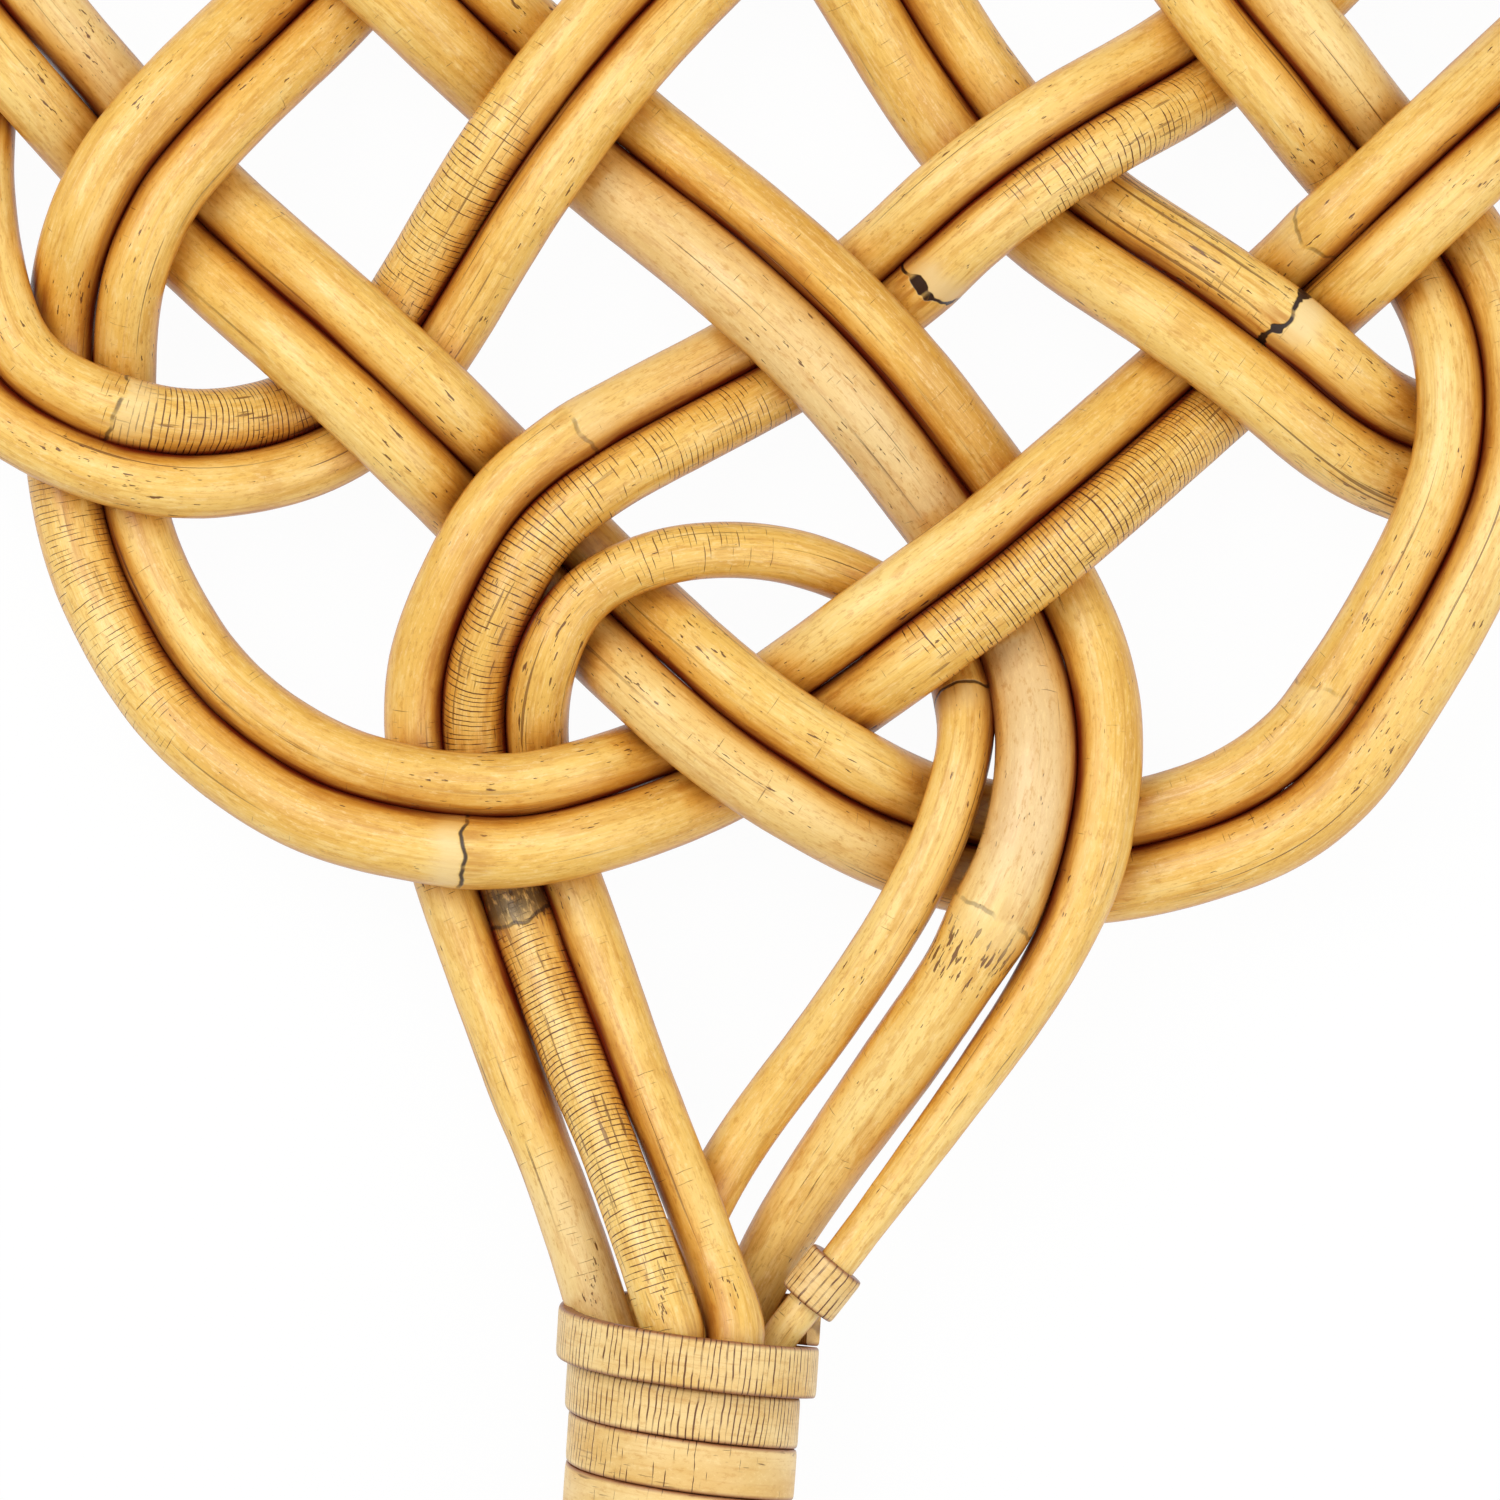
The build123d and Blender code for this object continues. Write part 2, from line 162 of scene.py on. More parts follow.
# The way of the seam between the two paired canes, from the left leg to the right leg
pair_route = (
    # Up the left leg, under the first lobe and round to the upper right
    ((600, 1205), bend), ((538, 1054), bend), ((449, 817), under), ((436, 672), bend),
    (left2, over), ((600, 450), bend), (mid3, under), (right4, over), (far_right5, under),
    (edge_right6, over), ((1545, -364), bend), (crown_right, under), ((1492, -744), bend),
    ((1359, -929), bend), (eye_right, over), ((1006, -1039), bend), (mid9, under),
    # Down the upper left edge and round the left lobe
    (left8, over), (far_left7, under), (edge_left6, over), ((3, -172), bend),
    (rim_left5, under), ((-62, 190), bend), ((-16, 376), bend), (lobe_left, over),
    ((190, 462), bend), ((300, 440), bend), (far_left3, under),
    # Up to the right, round the right crown and down to the lower left
    (left4, over), (mid5, under), (right6, over), (far_right7, under), ((1425, -583), bend),
    (crown_right, over), ((1663, -396), bend), ((1696, -224), bend), ((1676, -85), bend),
    (rim_right5, under), (edge_right4, over), (far_right3, under), (right2, over),
    ((925, 610), over), (mid1, under), ((650, 785), bend), ((535, 818), over),
    ((449, 817), over),
    # Round the lower left lobe, up to the right and round the eye at the top
    ((320, 790), bend), ((190, 700), bend), ((110, 560), bend), (lobe_left, under),
    ((91, 296), bend), (edge_left4, over), (far_left5, under), (left6, over), (mid7, under),
    (right8, over), ((1155, -853), bend), (eye_right, under), ((1115, -1166), bend),
    ((871, -1259), bend), ((616, -1201), bend), (eye_left, over), ((533, -896), bend),
    # Down to the right and round the lower right lobe
    (left8, under), (mid7, over), (right6, under), (far_right5, over), (edge_right4, under),
    ((1478, 300), bend), (lobe_right, over), ((1405, 638), bend), ((1300, 800), bend),
    ((1105, 862), under), ((930, 842), under), (mid1, over),
    # Up to the left and round the left crown
    ((605, 610), under), (left2, under), (far_left3, over), (edge_left4, under),
    (rim_left5, over), ((-110, -210), bend), ((-96, -409), bend), ((-9, -573), bend),
    (crown_left, under), ((238, -661), bend), (far_left7, over),
    # Down to the right and round the right lobe
    (left6, under), (mid5, over), (right4, under), (far_right3, over), ((1360, 428), bend),
    (lobe_right, under), ((1582, 430), bend), ((1636, 284), bend), ((1632, 130), bend),
    (rim_right5, over), (edge_right6, under), (far_right7, over), (right8, under),
    # Over the top, round the upper left and down the right leg
    (mid9, over), ((707, -1060), bend), (eye_left, under), ((342, -1000), bend),
    ((185, -836), bend), (crown_left, over), ((80, -477), bend), (edge_left6, under),
    (far_left5, over), (left4, under), (mid3, over), (right2, under), ((1083, 690), bend),
    ((1067, 857), over), ((1000, 988), bend), ((811, 1245), bend),
)

# The way of the short arch cane's middle, from the left leg to the right leg
arch_route = (
    ((734, 1310), over), ((695, 1205), bend), ((634, 1054), bend), ((575, 890), bend), ((546, 817), under),
    ((530, 704), bend), ((570, 597), over), ((664, 551), bend), ((790, 548), bend),
    ((929, 611), under), ((976, 712), bend), ((938, 850), over), ((848, 1000), bend),
    ((719, 1169), under),
)

# Each cane: its route, its side of the seam, diameter and girths, and its two ends' angles
# round the handle's axis, in the mouth and down in the handle
cane_list = {
    "outer_cane": (pair_route, 1, outer_cane_diameter, outer_girth_shares,
                   outer_mouth_angles, outer_angles),
    "inner_cane": (pair_route, -1, inner_cane_diameter, inner_girth_shares,
                   inner_mouth_angles, inner_angles),
    "arch_cane": (arch_route, 0, arch_cane_diameter, arch_girth_shares,
                  arch_mouth_angles, arch_angles),
}

# The outer cane's thin end in the right leg: lengths before the mouth and shares of girth
thin_end_lengths = (-30 * mm, -8 * mm, 0, 18 * mm, 36 * mm, 58 * mm, 75 * mm)
thin_end_shares = (1.0, 0.66, 0.6, 0.62, 0.74, 0.91, 1.0)

# Joints of the cane that the picture shows: cane, pixel, and how dark its scar is
joint_marks = (
    ("outer_cane", (462, 838), 1.0), ("inner_cane", (940, 287), 1.3),
    ("outer_cane", (1282, 322), 1.3), ("outer_cane", (575, 440), 0.5),
    ("inner_cane", (1320, 235), 0.5), ("arch_cane", (976, 696), 0.9),
    ("inner_cane", (1338, 695), 0.4), ("inner_cane", (985, 916), 0.5),
    ("inner_cane", (512, 922), 0.8), ("outer_cane", (120, 178), 0.9),
    ("outer_cane", (118, 415), 0.8),
)
joint_spacing = 205 * mm
joint_reach = 30 * mm
joint_swell_share = 0.05
joint_swell_length = 3.0 * mm

# Stretches crazed by bending: cane, pixel at the middle, length and strength
crazed_stretches = (
    ("outer_cane", (225, 420), 30 * mm, 1.0), ("inner_cane", (478, 610), 46 * mm, 0.9),
    ("arch_cane", (640, 566), 26 * mm, 0.45), ("inner_cane", (590, 1100), 50 * mm, 1.0),
    ("outer_cane", (1060, 550), 48 * mm, 1.0), ("inner_cane", (1120, 150), 30 * mm, 0.75),
    ("outer_cane", (460, 220), 30 * mm, 0.7), ("outer_cane", (400, 812), 22 * mm, 0.6),
    ("outer_cane", (1170, 470), 26 * mm, 0.9), ("inner_cane", (680, 400), 26 * mm, 0.6),
    ("outer_cane", (130, 600), 40 * mm, 0.45), ("inner_cane", (1405, 215), 22 * mm, 0.5),
)

# Stretches with dark pits: cane, pixel at the middle, length and strength
pitted_stretches = (
    ("inner_cane", (985, 965), 9 * mm, 1.0), ("inner_cane", (512, 912), 6 * mm, 1.0),
    ("outer_cane", (1180, 245), 24 * mm, 0.7), ("inner_cane", (1130, 190), 20 * mm, 0.6),
    ("inner_cane", (465, 800), 16 * mm, 0.6), ("outer_cane", (460, 25), 22 * mm, 0.7),
    ("outer_cane", (1150, 470), 22 * mm, 0.5), ("arch_cane", (525, 668), 22 * mm, 0.7),
    ("inner_cane", (845, 425), 34 * mm, 0.6), ("inner_cane", (1330, 520), 26 * mm, 0.6),
)

# Stretches paler than the rest: cane, pixel at the middle, length and strength
pale_stretches = (
    ("inner_cane", (690, 270), 50 * mm, 0.6), ("inner_cane", (860, 420), 50 * mm, 0.7),
    ("inner_cane", (1045, 760), 36 * mm, 1.0), ("outer_cane", (760, 790), 60 * mm, 0.3),
    ("outer_cane", (620, 700), 40 * mm, 0.3), ("inner_cane", (90, 90), 40 * mm, 0.4),
    ("outer_cane", (580, 1250), 20 * mm, 0.5), ("outer_cane", (700, 340), 40 * mm, 0.25),
    ("outer_cane", (1350, 90), 40 * mm, 0.3), ("inner_cane", (1020, 960), 30 * mm, -0.2),
)

# Stretches with old dark moss: cane, pixel at the middle, length and strength
mossy_stretches = (("inner_cane", (511, 908), 5 * mm, 1.0),)

picture_top = throat_pixel[1] * pixel

# Surface finish: waves, lines and pits to a metre, depths in metres
cane_unevenness = 0.1 * mm
strip_unevenness = 0.12 * mm
loop_unevenness = 0.06 * mm
uneven_scale = 110
strip_sides = 28
loop_sides = 20
edge_softness = 0.22
crown_softness = 0.34
cane_roughness = 0.42
strip_roughness = 0.5
cane_coat = 0.25
coat_roughness = 0.22
bump_depth = 0.12 * mm
crack_rate = 1350
strip_crack_rate = 1250
crazed_strip_length = 235 * mm
pore_rate = 3500
# Painted shade between canes and on their flanks: search reach, fade, flank amount and slope
shade_search = 11 * mm
shade_reach = 2.0 * mm
flank_shade = 0.55
flank_slope = 0.6
random_seed = 7

# Camera, floor and light
camera_height = 0.9
sensor_width = 36
head_middle_height = 17 * mm
ground_size = 6
ground_glow = 0.965
ground_depth = 0.1 * mm
key_power = 9
fill_power = 6
world_light = 0.55

# Where the handle's mouth, on the handle's axis, lies in the frame
core_low, core_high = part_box("handle_core")
canes_low, canes_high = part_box("outer_cane")
mouth_place = np.array(((core_low.x + core_high.x) / 2, canes_low.y + handle_length,
                        (core_low.z + core_high.z) / 2))


def place(spots):
    """The places of picture pixels in the flat head, from the throat."""
    apart = (np.array(spots, float) - throat_pixel) * pixel
    right, up = apart[:, 0], -apart[:, 1]
    lean_cos, lean_sin = math.cos(picture_lean), math.sin(picture_lean)
    return np.column_stack((right * lean_cos - up * lean_sin, right * lean_sin + up * lean_cos))


def lengths_along(points):
    """The length of the way up to each point."""
    return np.concatenate(([0], np.cumsum(np.linalg.norm(np.diff(points, axis=0), axis=1))))


def girth(shares, along, length):
    """The girths at lengths along a cane, whittled down to 1 near its two ends."""
    full = np.interp(along / length, np.linspace(0, 1, len(shares)), shares)
    ends = np.minimum(1, np.minimum(along, length - along) / whittled_length)
    return 1 + (full - 1) * np.maximum(ends, 0)


def ways_between(points):
    steps = np.diff(points, axis=0)
    return steps / np.linalg.norm(steps, axis=1)[:, None]


def beside(corners, offsets):
    """The corners moved sideways to the left, each run staying parallel to itself."""
    ways = ways_between(corners)
    way_in, way_out = np.vstack((ways[:1], ways)), np.vstack((ways, ways[-1:]))
    normal = np.column_stack((-(way_in + way_out)[:, 1], (way_in + way_out)[:, 0]))
    normal /= np.linalg.norm(normal, axis=1)[:, None]
    half_turn = np.arccos(np.clip((way_in * way_out).sum(axis=1), -1, 1)) / 2
    return corners + normal * (offsets / np.cos(half_turn))[:, None]


def cut_corners(corners):
    """Two stations in place of each corner that turns."""
    stations = [corners[0]]
    for before, corner, after in zip(corners, corners[1:], corners[2:]):
        arms = (before - corner, after - corner)
        lengths = [np.linalg.norm(arm) for arm in arms]
        turn = math.pi - math.acos(np.clip(arms[0] @ arms[1] / lengths[0] / lengths[1], -1, 1))
        if turn < slight_turn:
            stations.append(corner)
            continue
        reach = corner_cut_share * min(lengths)
        stations += [corner + arm / length * reach for arm, length in zip(arms, lengths)]
    return np.array(stations + [corners[-1]])


def spread_evenly(points, pitch):
    """The same way as points at an even pitch."""
    walked = lengths_along(points)
    at = np.linspace(0, walked[-1], max(2, round(walked[-1] / pitch) + 1))
    return np.column_stack([np.interp(at, walked, points[:, axis]) for axis in range(points.shape[1])])


def smooth_line(points, pitch):
    """A smooth line near the points: their corners are cut three times, then it is spaced."""
    for _ in range(3):
        first = points[:-1] * 0.75 + points[1:] * 0.25
        second = points[:-1] * 0.25 + points[1:] * 0.75
        middle = np.stack((first, second), axis=1).reshape(-1, points.shape[1])
        points = np.vstack((points[:1], middle, points[-1:]))
    return spread_evenly(points, pitch)


def bundle_radius(along, diameter=outer_cane_diameter):
    """From the handle's axis to the axis of a cane in the ring, wider near the mouth."""
    share = np.clip((flare_depth + along) / (flare_depth + mouth_height), 0, 1)
    return (core_diameter / 2 + core_gap + diameter / 2) * (1 + (mouth_flare_share - 1) * share)


def bundle_spot(angle, along, diameter):
    reach = bundle_radius(along, diameter)
    angle = math.radians(angle)
    return np.array((reach * math.cos(angle), along, reach * math.sin(angle)))


def strip_radius(along):
    """From the handle's axis to the middle of the strip wound over the cane ends."""
    cane_face = bundle_radius(along + strip_width / 2) + outer_cane_diameter / 2
    return cane_face + strip_seat + strip_thickness / 2


def plan_line(route, side, diameter, shares, mouth_angles, _):
    """A cane's smooth line seen from above, mouth to mouth, and the levels it has on it."""
    spots = place([spot for spot, _ in route])
    so_far = lengths_along(spots)
    offsets = side * (diameter / 2 * girth(shares, so_far, so_far[-1]) + pair_gap / 2)
    ends = [bundle_spot(angle, mouth_height, diameter)[:2] for angle in mouth_angles]
    corners = np.vstack((ends[0], beside(spots, offsets), ends[1]))
    line = smooth_line(cut_corners(corners), ring_pitch)
    walked = lengths_along(line)
    marks = [(walked[nearest(line, corner)], level)
             for corner, (_, level) in zip(corners[1:], route) if level != bend]
    return line, marks


def nearest(points, spot):
    return int(np.argmin(((points - spot) ** 2).sum(axis=1)))


def crossings(own, other):
    """Where one line crosses another, or itself: lengths along it and how far each reaches."""
    coarse = 3
    own_walk = lengths_along(own)[::coarse]
    own, other = own[::coarse], other[::coarse]
    run, rival = np.diff(own, axis=0), np.diff(other, axis=0)
    apart = other[None, :-1] - own[:-1, None]
    spread = run[:, None, 0] * rival[None, :, 1] - run[:, None, 1] * rival[None, :, 0]
    spread[spread == 0] = 1e-12
    share = (apart[..., 0] * rival[None, :, 1] - apart[..., 1] * rival[None, :, 0]) / spread
    rival_share = (apart[..., 0] * run[:, None, 1] - apart[..., 1] * run[:, None, 0]) / spread
    hit = (share >= 0) & (share < 1) & (rival_share >= 0) & (rival_share < 1)
    if own.shape == other.shape and np.allclose(own, other):
        first, second = np.indices(hit.shape)
        hit &= abs(first - second) > 2
    found = []
    for first, second in zip(*np.nonzero(hit)):
        lengths = np.linalg.norm(run[first]) * np.linalg.norm(rival[second])
        at = own_walk[first] + share[first, second] * np.linalg.norm(run[first])
        found.append((at, crossing_margin * lengths / abs(spread[first, second])))
    return sorted(found)


def smooth_step(share):
    share = np.clip(share, 0, 1)
    return share * share * (3 - 2 * share)


def softened(values, pitch, reach):
    """A row of values averaged over a reach each way, its two ends kept."""
    steps = max(1, round(reach / pitch))
    padded = np.concatenate((np.full(steps, values[0]), values, np.full(steps, values[-1])))
    kernel = np.hanning(2 * steps + 3)[1:-1]
    return np.convolve(padded, kernel / kernel.sum(), mode="valid")


def woven_heights(line, marks, found, rise, mouth_heights):
    """Heights of a line that goes over and under, eased between the held stretches."""
    walked = lengths_along(line)
    knots = [(0, mouth_heights[0])]
    last_level = None
    for at, reach in found:
        if not max(reach, mouth_margin) < at < walked[-1] - max(reach, mouth_margin):
            continue
        level = min(marks, key=lambda mark: abs(mark[0] - at))[1]
        height = level * rise(at)
        if level == last_level:
            knots[-1] = (max(at + reach, knots[-1][0]), height)
        else:
            knots += [(max(at - reach, knots[-1][0] + ring_pitch), height), (at + reach, height)]
        last_level = level
    knots.append((walked[-1], mouth_heights[1]))
    places, heights = np.array(knots).T
    run = np.clip(np.searchsorted(places, walked, side="right") - 1, 0, len(places) - 2)
    share = (walked - places[run]) / (places[run + 1] - places[run])
    return heights[run] + (heights[run + 1] - heights[run]) * smooth_step(share)


def snug_radii(lines):
    """The radii of all canes, grown where two side by side would show a slit from above."""
    all_points = np.vstack([middle for middle, _ in lines.values()])
    all_radii = np.concatenate([radii for _, radii in lines.values()])
    ways = np.vstack([np.gradient(middle, axis=0) for middle, _ in lines.values()])
    ways /= np.linalg.norm(ways, axis=1)[:, None]
    tree = kdtree.KDTree(len(all_points))
    for number, point in enumerate(all_points):
        tree.insert(point, number)
    tree.balance()
    near_own = round(own_stretch / ring_pitch)
    growth = np.zeros(len(all_points))
    for number, point in enumerate(all_points):
        reach = 2 * all_radii[number] + 2 * snug_gap
        found = np.array([other for _, other, _ in tree.find_range(point, reach)])
        found = found[(abs(found - number) > near_own) & (abs(ways[found] @ ways[number]) > snug_cosine)]
        if len(found) == 0:
            continue
        away = all_points[found, :2] - point[:2]
        gaps = np.linalg.norm(away, axis=1) - all_radii[found] - all_radii[number] + snug_overlap
        on_left = ways[number, 0] * away[:, 1] > ways[number, 1] * away[:, 0]
        for gap in [gaps[side].min() for side in (on_left, ~on_left) if side.any()]:
            if 0 < gap < snug_gap:
                growth[number] = max(growth[number], gap / 2)
    grown_lines, first = {}, 0
    for name, (middle, radii) in lines.items():
        own = growth[first:first + len(middle)]
        grown_lines[name] = (middle, radii + softened(own, ring_pitch, snug_reach))
        first += len(middle)
    return grown_lines


def cane_lines():
    """Every cane's middle line from butt to butt, with its radius at each point."""
    plans = {name: plan_line(*values) for name, values in cane_list.items()}
    crown = max(line[:, 1].max() for line, _ in plans.values())
    strip_middle = -neck_start - strip_width / 2
    drop = strip_radius(strip_middle) + strip_thickness / 2 - outer_cane_diameter - crossing_gap / 2
    lines = {}
    for name, (_, _, diameter, shares, mouth_angles, ring_angles) in cane_list.items():
        line, marks = plans[name]
        walked = lengths_along(line)
        found = sorted(each for other, _ in plans.values() for each in crossings(line, other))
        mouths = [bundle_spot(angle, mouth_height, diameter) for angle in mouth_angles]
        heights = woven_heights(
            line, marks, found,
            lambda at: diameter / 2 * girth(shares, at, walked[-1]) + crossing_gap / 2,
            [mouth[2] for mouth in mouths])
        heights -= drop * np.maximum(0, line[:, 1]) / crown
        middle = np.column_stack((line, heights))
        tails = [np.array((mouth, bundle_spot(angle, -flare_depth, diameter),
                           bundle_spot(angle, -handle_length, diameter)))
                 for mouth, angle in zip(mouths, ring_angles)]
        tails = [spread_evenly(tail, ring_pitch)[1:] for tail in tails]
        radii = diameter / 2 * girth(shares, walked, walked[-1])
        middle = np.vstack((tails[0][::-1], middle, tails[1]))
        radii = np.concatenate((np.full(len(tails[0]), radii[0]), radii,
                                np.full(len(tails[1]), radii[-1])))
        middle = np.column_stack([softened(middle[:, axis], ring_pitch, bend_softness)
                                  for axis in range(3)])
        if name == "outer_cane":
            before_mouth = lengths_along(middle)[len(middle) - len(tails[1]) - 1]
            radii = radii * np.interp(before_mouth - lengths_along(middle),
                                      thin_end_lengths, thin_end_shares)
        lines[name] = (middle, radii)
    return snug_radii(lines)


def spot_on(middle, pixel_spot):
    """The number of the point of a middle line that lies at a picture pixel."""
    return nearest(middle[:, :2], place([pixel_spot])[0])


def stretch_strength(name, middle, walked, stretches):
    """How strongly a list of stretches marks each point of a cane, from 0 to 1."""
    strength = np.zeros(len(middle))
    for cane_name, pixel_spot, length, amount in stretches:
        if cane_name == name:
            apart = abs(walked - walked[spot_on(middle, pixel_spot)])
            fade = amount * smooth_step((length * 0.75 - apart) / (length * 0.5))
            strength = np.where(abs(fade) > abs(strength), fade, strength)
    return strength


def joints_along(name, middle, walked, draws):
    """Lengths along a cane of its joints and how dark each is, seen ones and others."""
    seen = [(walked[spot_on(middle, pixel_spot)], dark)
            for cane_name, pixel_spot, dark in joint_marks if cane_name == name]
    joints = list(seen)
    at = joint_spacing * draws.uniform(0.3, 0.7)
    while at < walked[-1]:
        in_picture = middle[nearest(walked[:, None], at), 1] < picture_top
        if all(abs(at - other) > joint_spacing / 2 for other, _ in seen) and not in_picture:
            joints.append((at, draws.uniform(0.2, 0.9)))
        at += joint_spacing * draws.uniform(0.9, 1.1)
    return sorted(joints)


def joint_distances(walked, joints):
    """From each point to the nearest joint, with its sign, and how dark that joint is."""
    apart = np.array([walked - at for at, _ in joints])
    pick = abs(apart).argmin(axis=0)
    signed = apart[pick, np.arange(len(walked))]
    darks = np.array([dark for _, dark in joints])[pick]
    return np.clip(signed, -joint_reach, joint_reach), darks


def line_object(name, points, attributes, new_runs=()):
    """An object that holds lines of points and their attributes, for a tree to work on.

    The points make one run, or several that start at the numbers in new_runs.
    """
    mesh = bpy.data.meshes.new(name)
    mesh.vertices.add(len(points))
    mesh.vertices.foreach_set("co", np.asarray(points, np.float32).ravel())
    ends = np.array([(at - 1, at) for at in range(1, len(points)) if at not in new_runs])
    mesh.edges.add(len(ends))
    mesh.edges.foreach_set("vertices", ends.astype(np.int32).ravel())
    for key, values in attributes.items():
        values = np.asarray(values, np.float32)
        kind, field = ("FLOAT", "value") if values.ndim == 1 else ("FLOAT_VECTOR", "vector")
        mesh.attributes.new(key, kind, "POINT").data.foreach_set(field, values.ravel())
    made = bpy.data.objects.new(name, mesh)
    bpy.context.scene.collection.objects.link(made)
    return made


def add(tree, kind, values=None, **settings):
    """A new node in a tree: its settings, and its inputs set or linked by name or number."""
    made = tree.nodes.new(kind)
    for key, value in settings.items():
        setattr(made, key, value)
    for key, value in (values or {}).items():
        socket = made.inputs[key]
        if isinstance(value, bpy.types.NodeSocket):
            tree.links.new(value, socket)
        else:
            socket.default_value = value
    return made


def calc(tree, operation, *values):
    """The result of a Math node."""
    return add(tree, "ShaderNodeMath", dict(enumerate(values)), operation=operation).outputs[0]


def calc_vector(tree, operation, *values):
    """The result of a Vector Math node."""
    made = add(tree, "ShaderNodeVectorMath", dict(enumerate(values)), operation=operation)
    return made.outputs[0]


def stored(tree, geometry, key, kind, value):
    """The geometry with a value stored under a name at its points."""
    return add(tree, "GeometryNodeStoreNamedAttribute",
               {"Geometry": geometry, "Name": key, "Value": value},
               data_type=kind, domain="POINT").outputs[0]


def named(tree, key, kind="FLOAT"):
    """A value that was stored under a name."""
    return add(tree, "GeometryNodeInputNamedAttribute", {"Name": key}, data_type=kind).outputs[0]


def round_section(tree, sides):
    """A round section of radius 1."""
    return add(tree, "GeometryNodeCurvePrimitiveCircle", {"Resolution": sides}).outputs[0]


def crowned_section(tree, sides):
    """The section of split cane: flat inside, crowned outside, with soft edges."""
    ring = add(tree, "GeometryNodeCurvePrimitiveCircle", {"Resolution": sides}).outputs[0]
    spot = add(tree, "ShaderNodeSeparateXYZ", {0: add(tree, "GeometryNodeInputPosition").outputs[0]})
    out, across = spot.outputs[0], spot.outputs[1]
    reach = calc(tree, "POWER", calc(tree, "ABSOLUTE", across), edge_softness)
    across = calc(tree, "MULTIPLY", calc(tree, "SIGN", across), reach)
    crown = calc(tree, "POWER", calc(tree, "MAXIMUM", out, 0), crown_softness)
    floor = calc(tree, "POWER", calc(tree, "MAXIMUM", calc(tree, "MULTIPLY", out, -1), 0),
                 edge_softness)
    depth = calc(tree, "MULTIPLY", calc(tree, "SUBTRACT", crown, floor),
                 shown_strip_thickness / shown_strip_width)
    spot = add(tree, "ShaderNodeCombineXYZ", {0: depth, 1: across}).outputs[0]
    return add(tree, "GeometryNodeSetPosition", {"Geometry": ring, "Position": spot}).outputs[0]


def swept_tree(name, section, turned):
    """A tree that sweeps a section along a line of points, with a slightly uneven surface.

    The girth of the line's points scales the section. Where turned is true, the section's
    outside follows the outward directions of the points.
    """
    tree = bpy.data.node_groups.new(name, "GeometryNodeTree")
    face = tree.interface
    face.new_socket("Line", in_out="INPUT", socket_type="NodeSocketGeometry")
    face.new_socket("Sides", in_out="INPUT", socket_type="NodeSocketInt")
    face.new_socket("Unevenness", in_out="INPUT", socket_type="NodeSocketFloat")
    face.new_socket("Finish", in_out="INPUT", socket_type="NodeSocketMaterial")
    face.new_socket("Swept", in_out="OUTPUT", socket_type="NodeSocketGeometry")
    given = tree.nodes.new("NodeGroupInput").outputs
    line = add(tree, "GeometryNodeMeshToCurve", {0: given["Line"]}).outputs[0]
    if turned:
        line = add(tree, "GeometryNodeSetCurveNormal",
                   {"Curve": line, "Normal": named(tree, "outward", "FLOAT_VECTOR")},
                   mode="FREE").outputs[0]
    profile = section(tree, given["Sides"])
    rim = add(tree, "GeometryNodeInputPosition").outputs[0]
    profile = stored(tree, profile, "rim", "FLOAT_VECTOR", rim)
    skin = add(tree, "GeometryNodeCurveToMesh",
               {"Curve": line, "Profile Curve": profile, "Scale": named(tree, "girth"),
                "Fill Caps": True}).outputs[0]
    rim = add(tree, "ShaderNodeSeparateXYZ", {0: named(tree, "rim", "FLOAT_VECTOR")})
    girth_here = named(tree, "girth")
    grain = add(tree, "ShaderNodeCombineXYZ",
                {0: calc(tree, "MULTIPLY", rim.outputs[0], girth_here),
                 1: calc(tree, "MULTIPLY", rim.outputs[1], girth_here),
                 2: named(tree, "along")}).outputs[0]
    skin = stored(tree, skin, "grain", "FLOAT_VECTOR", grain)
    hills = 0
    for scale, share in ((uneven_scale, 0.7), (uneven_scale * 3, 0.3)):
        noise = add(tree, "ShaderNodeTexNoise",
                    {"Vector": named(tree, "grain", "FLOAT_VECTOR"), "Scale": scale, "Detail": 1})
        centred = calc(tree, "SUBTRACT", noise.outputs[0], 0.5)
        hills = calc(tree, "ADD", hills, calc(tree, "MULTIPLY", centred, share * 2))
    push = add(tree, "ShaderNodeVectorMath",
               {0: add(tree, "GeometryNodeInputNormal").outputs[0],
                "Scale": calc(tree, "MULTIPLY", hills, given["Unevenness"])},
               operation="SCALE").outputs[0]
    skin = add(tree, "GeometryNodeSetPosition", {"Geometry": skin, "Offset": push}).outputs[0]
    skin = add(tree, "GeometryNodeSetShadeSmooth", {0: skin}).outputs[0]
    skin = add(tree, "GeometryNodeRealizeInstances", {0: skin}).outputs[0]
    skin = add(tree, "GeometryNodeSetMaterial",
               {"Geometry": skin, "Material": given["Finish"]}).outputs[0]
    add(tree, "NodeGroupOutput", {0: skin})
    return tree


def grown(name, line, tree, sides, unevenness, finish):
    """The mesh piece that a tree makes from a line object, which is used up."""
    growth = line.modifiers.new("growth", "NODES")
    growth.node_group = tree
    inputs = {item.name: item.identifier for item in tree.interface.items_tree
              if item.in_out == "INPUT"}
    growth[inputs["Sides"]] = sides
    growth[inputs["Unevenness"]] = unevenness
    growth[inputs["Finish"]] = finish
    bpy.context.view_layer.update()
    mesh = bpy.data.meshes.new_from_object(
        line.evaluated_get(bpy.context.evaluated_depsgraph_get()))
    mesh.name = name
    bpy.data.objects.remove(line)
    piece = bpy.data.objects.new(name, mesh)
    bpy.context.scene.collection.objects.link(piece)
    return piece


def colour(red, green, blue):
    """A colour as eyes read it, 0 to 255, as the linear one that shaders take."""
    shares = [value / 255 for value in (red, green, blue)]
    return (*[share / 12.92 if share < 0.04045 else ((share + 0.055) / 1.055) ** 2.4
              for share in shares], 1)


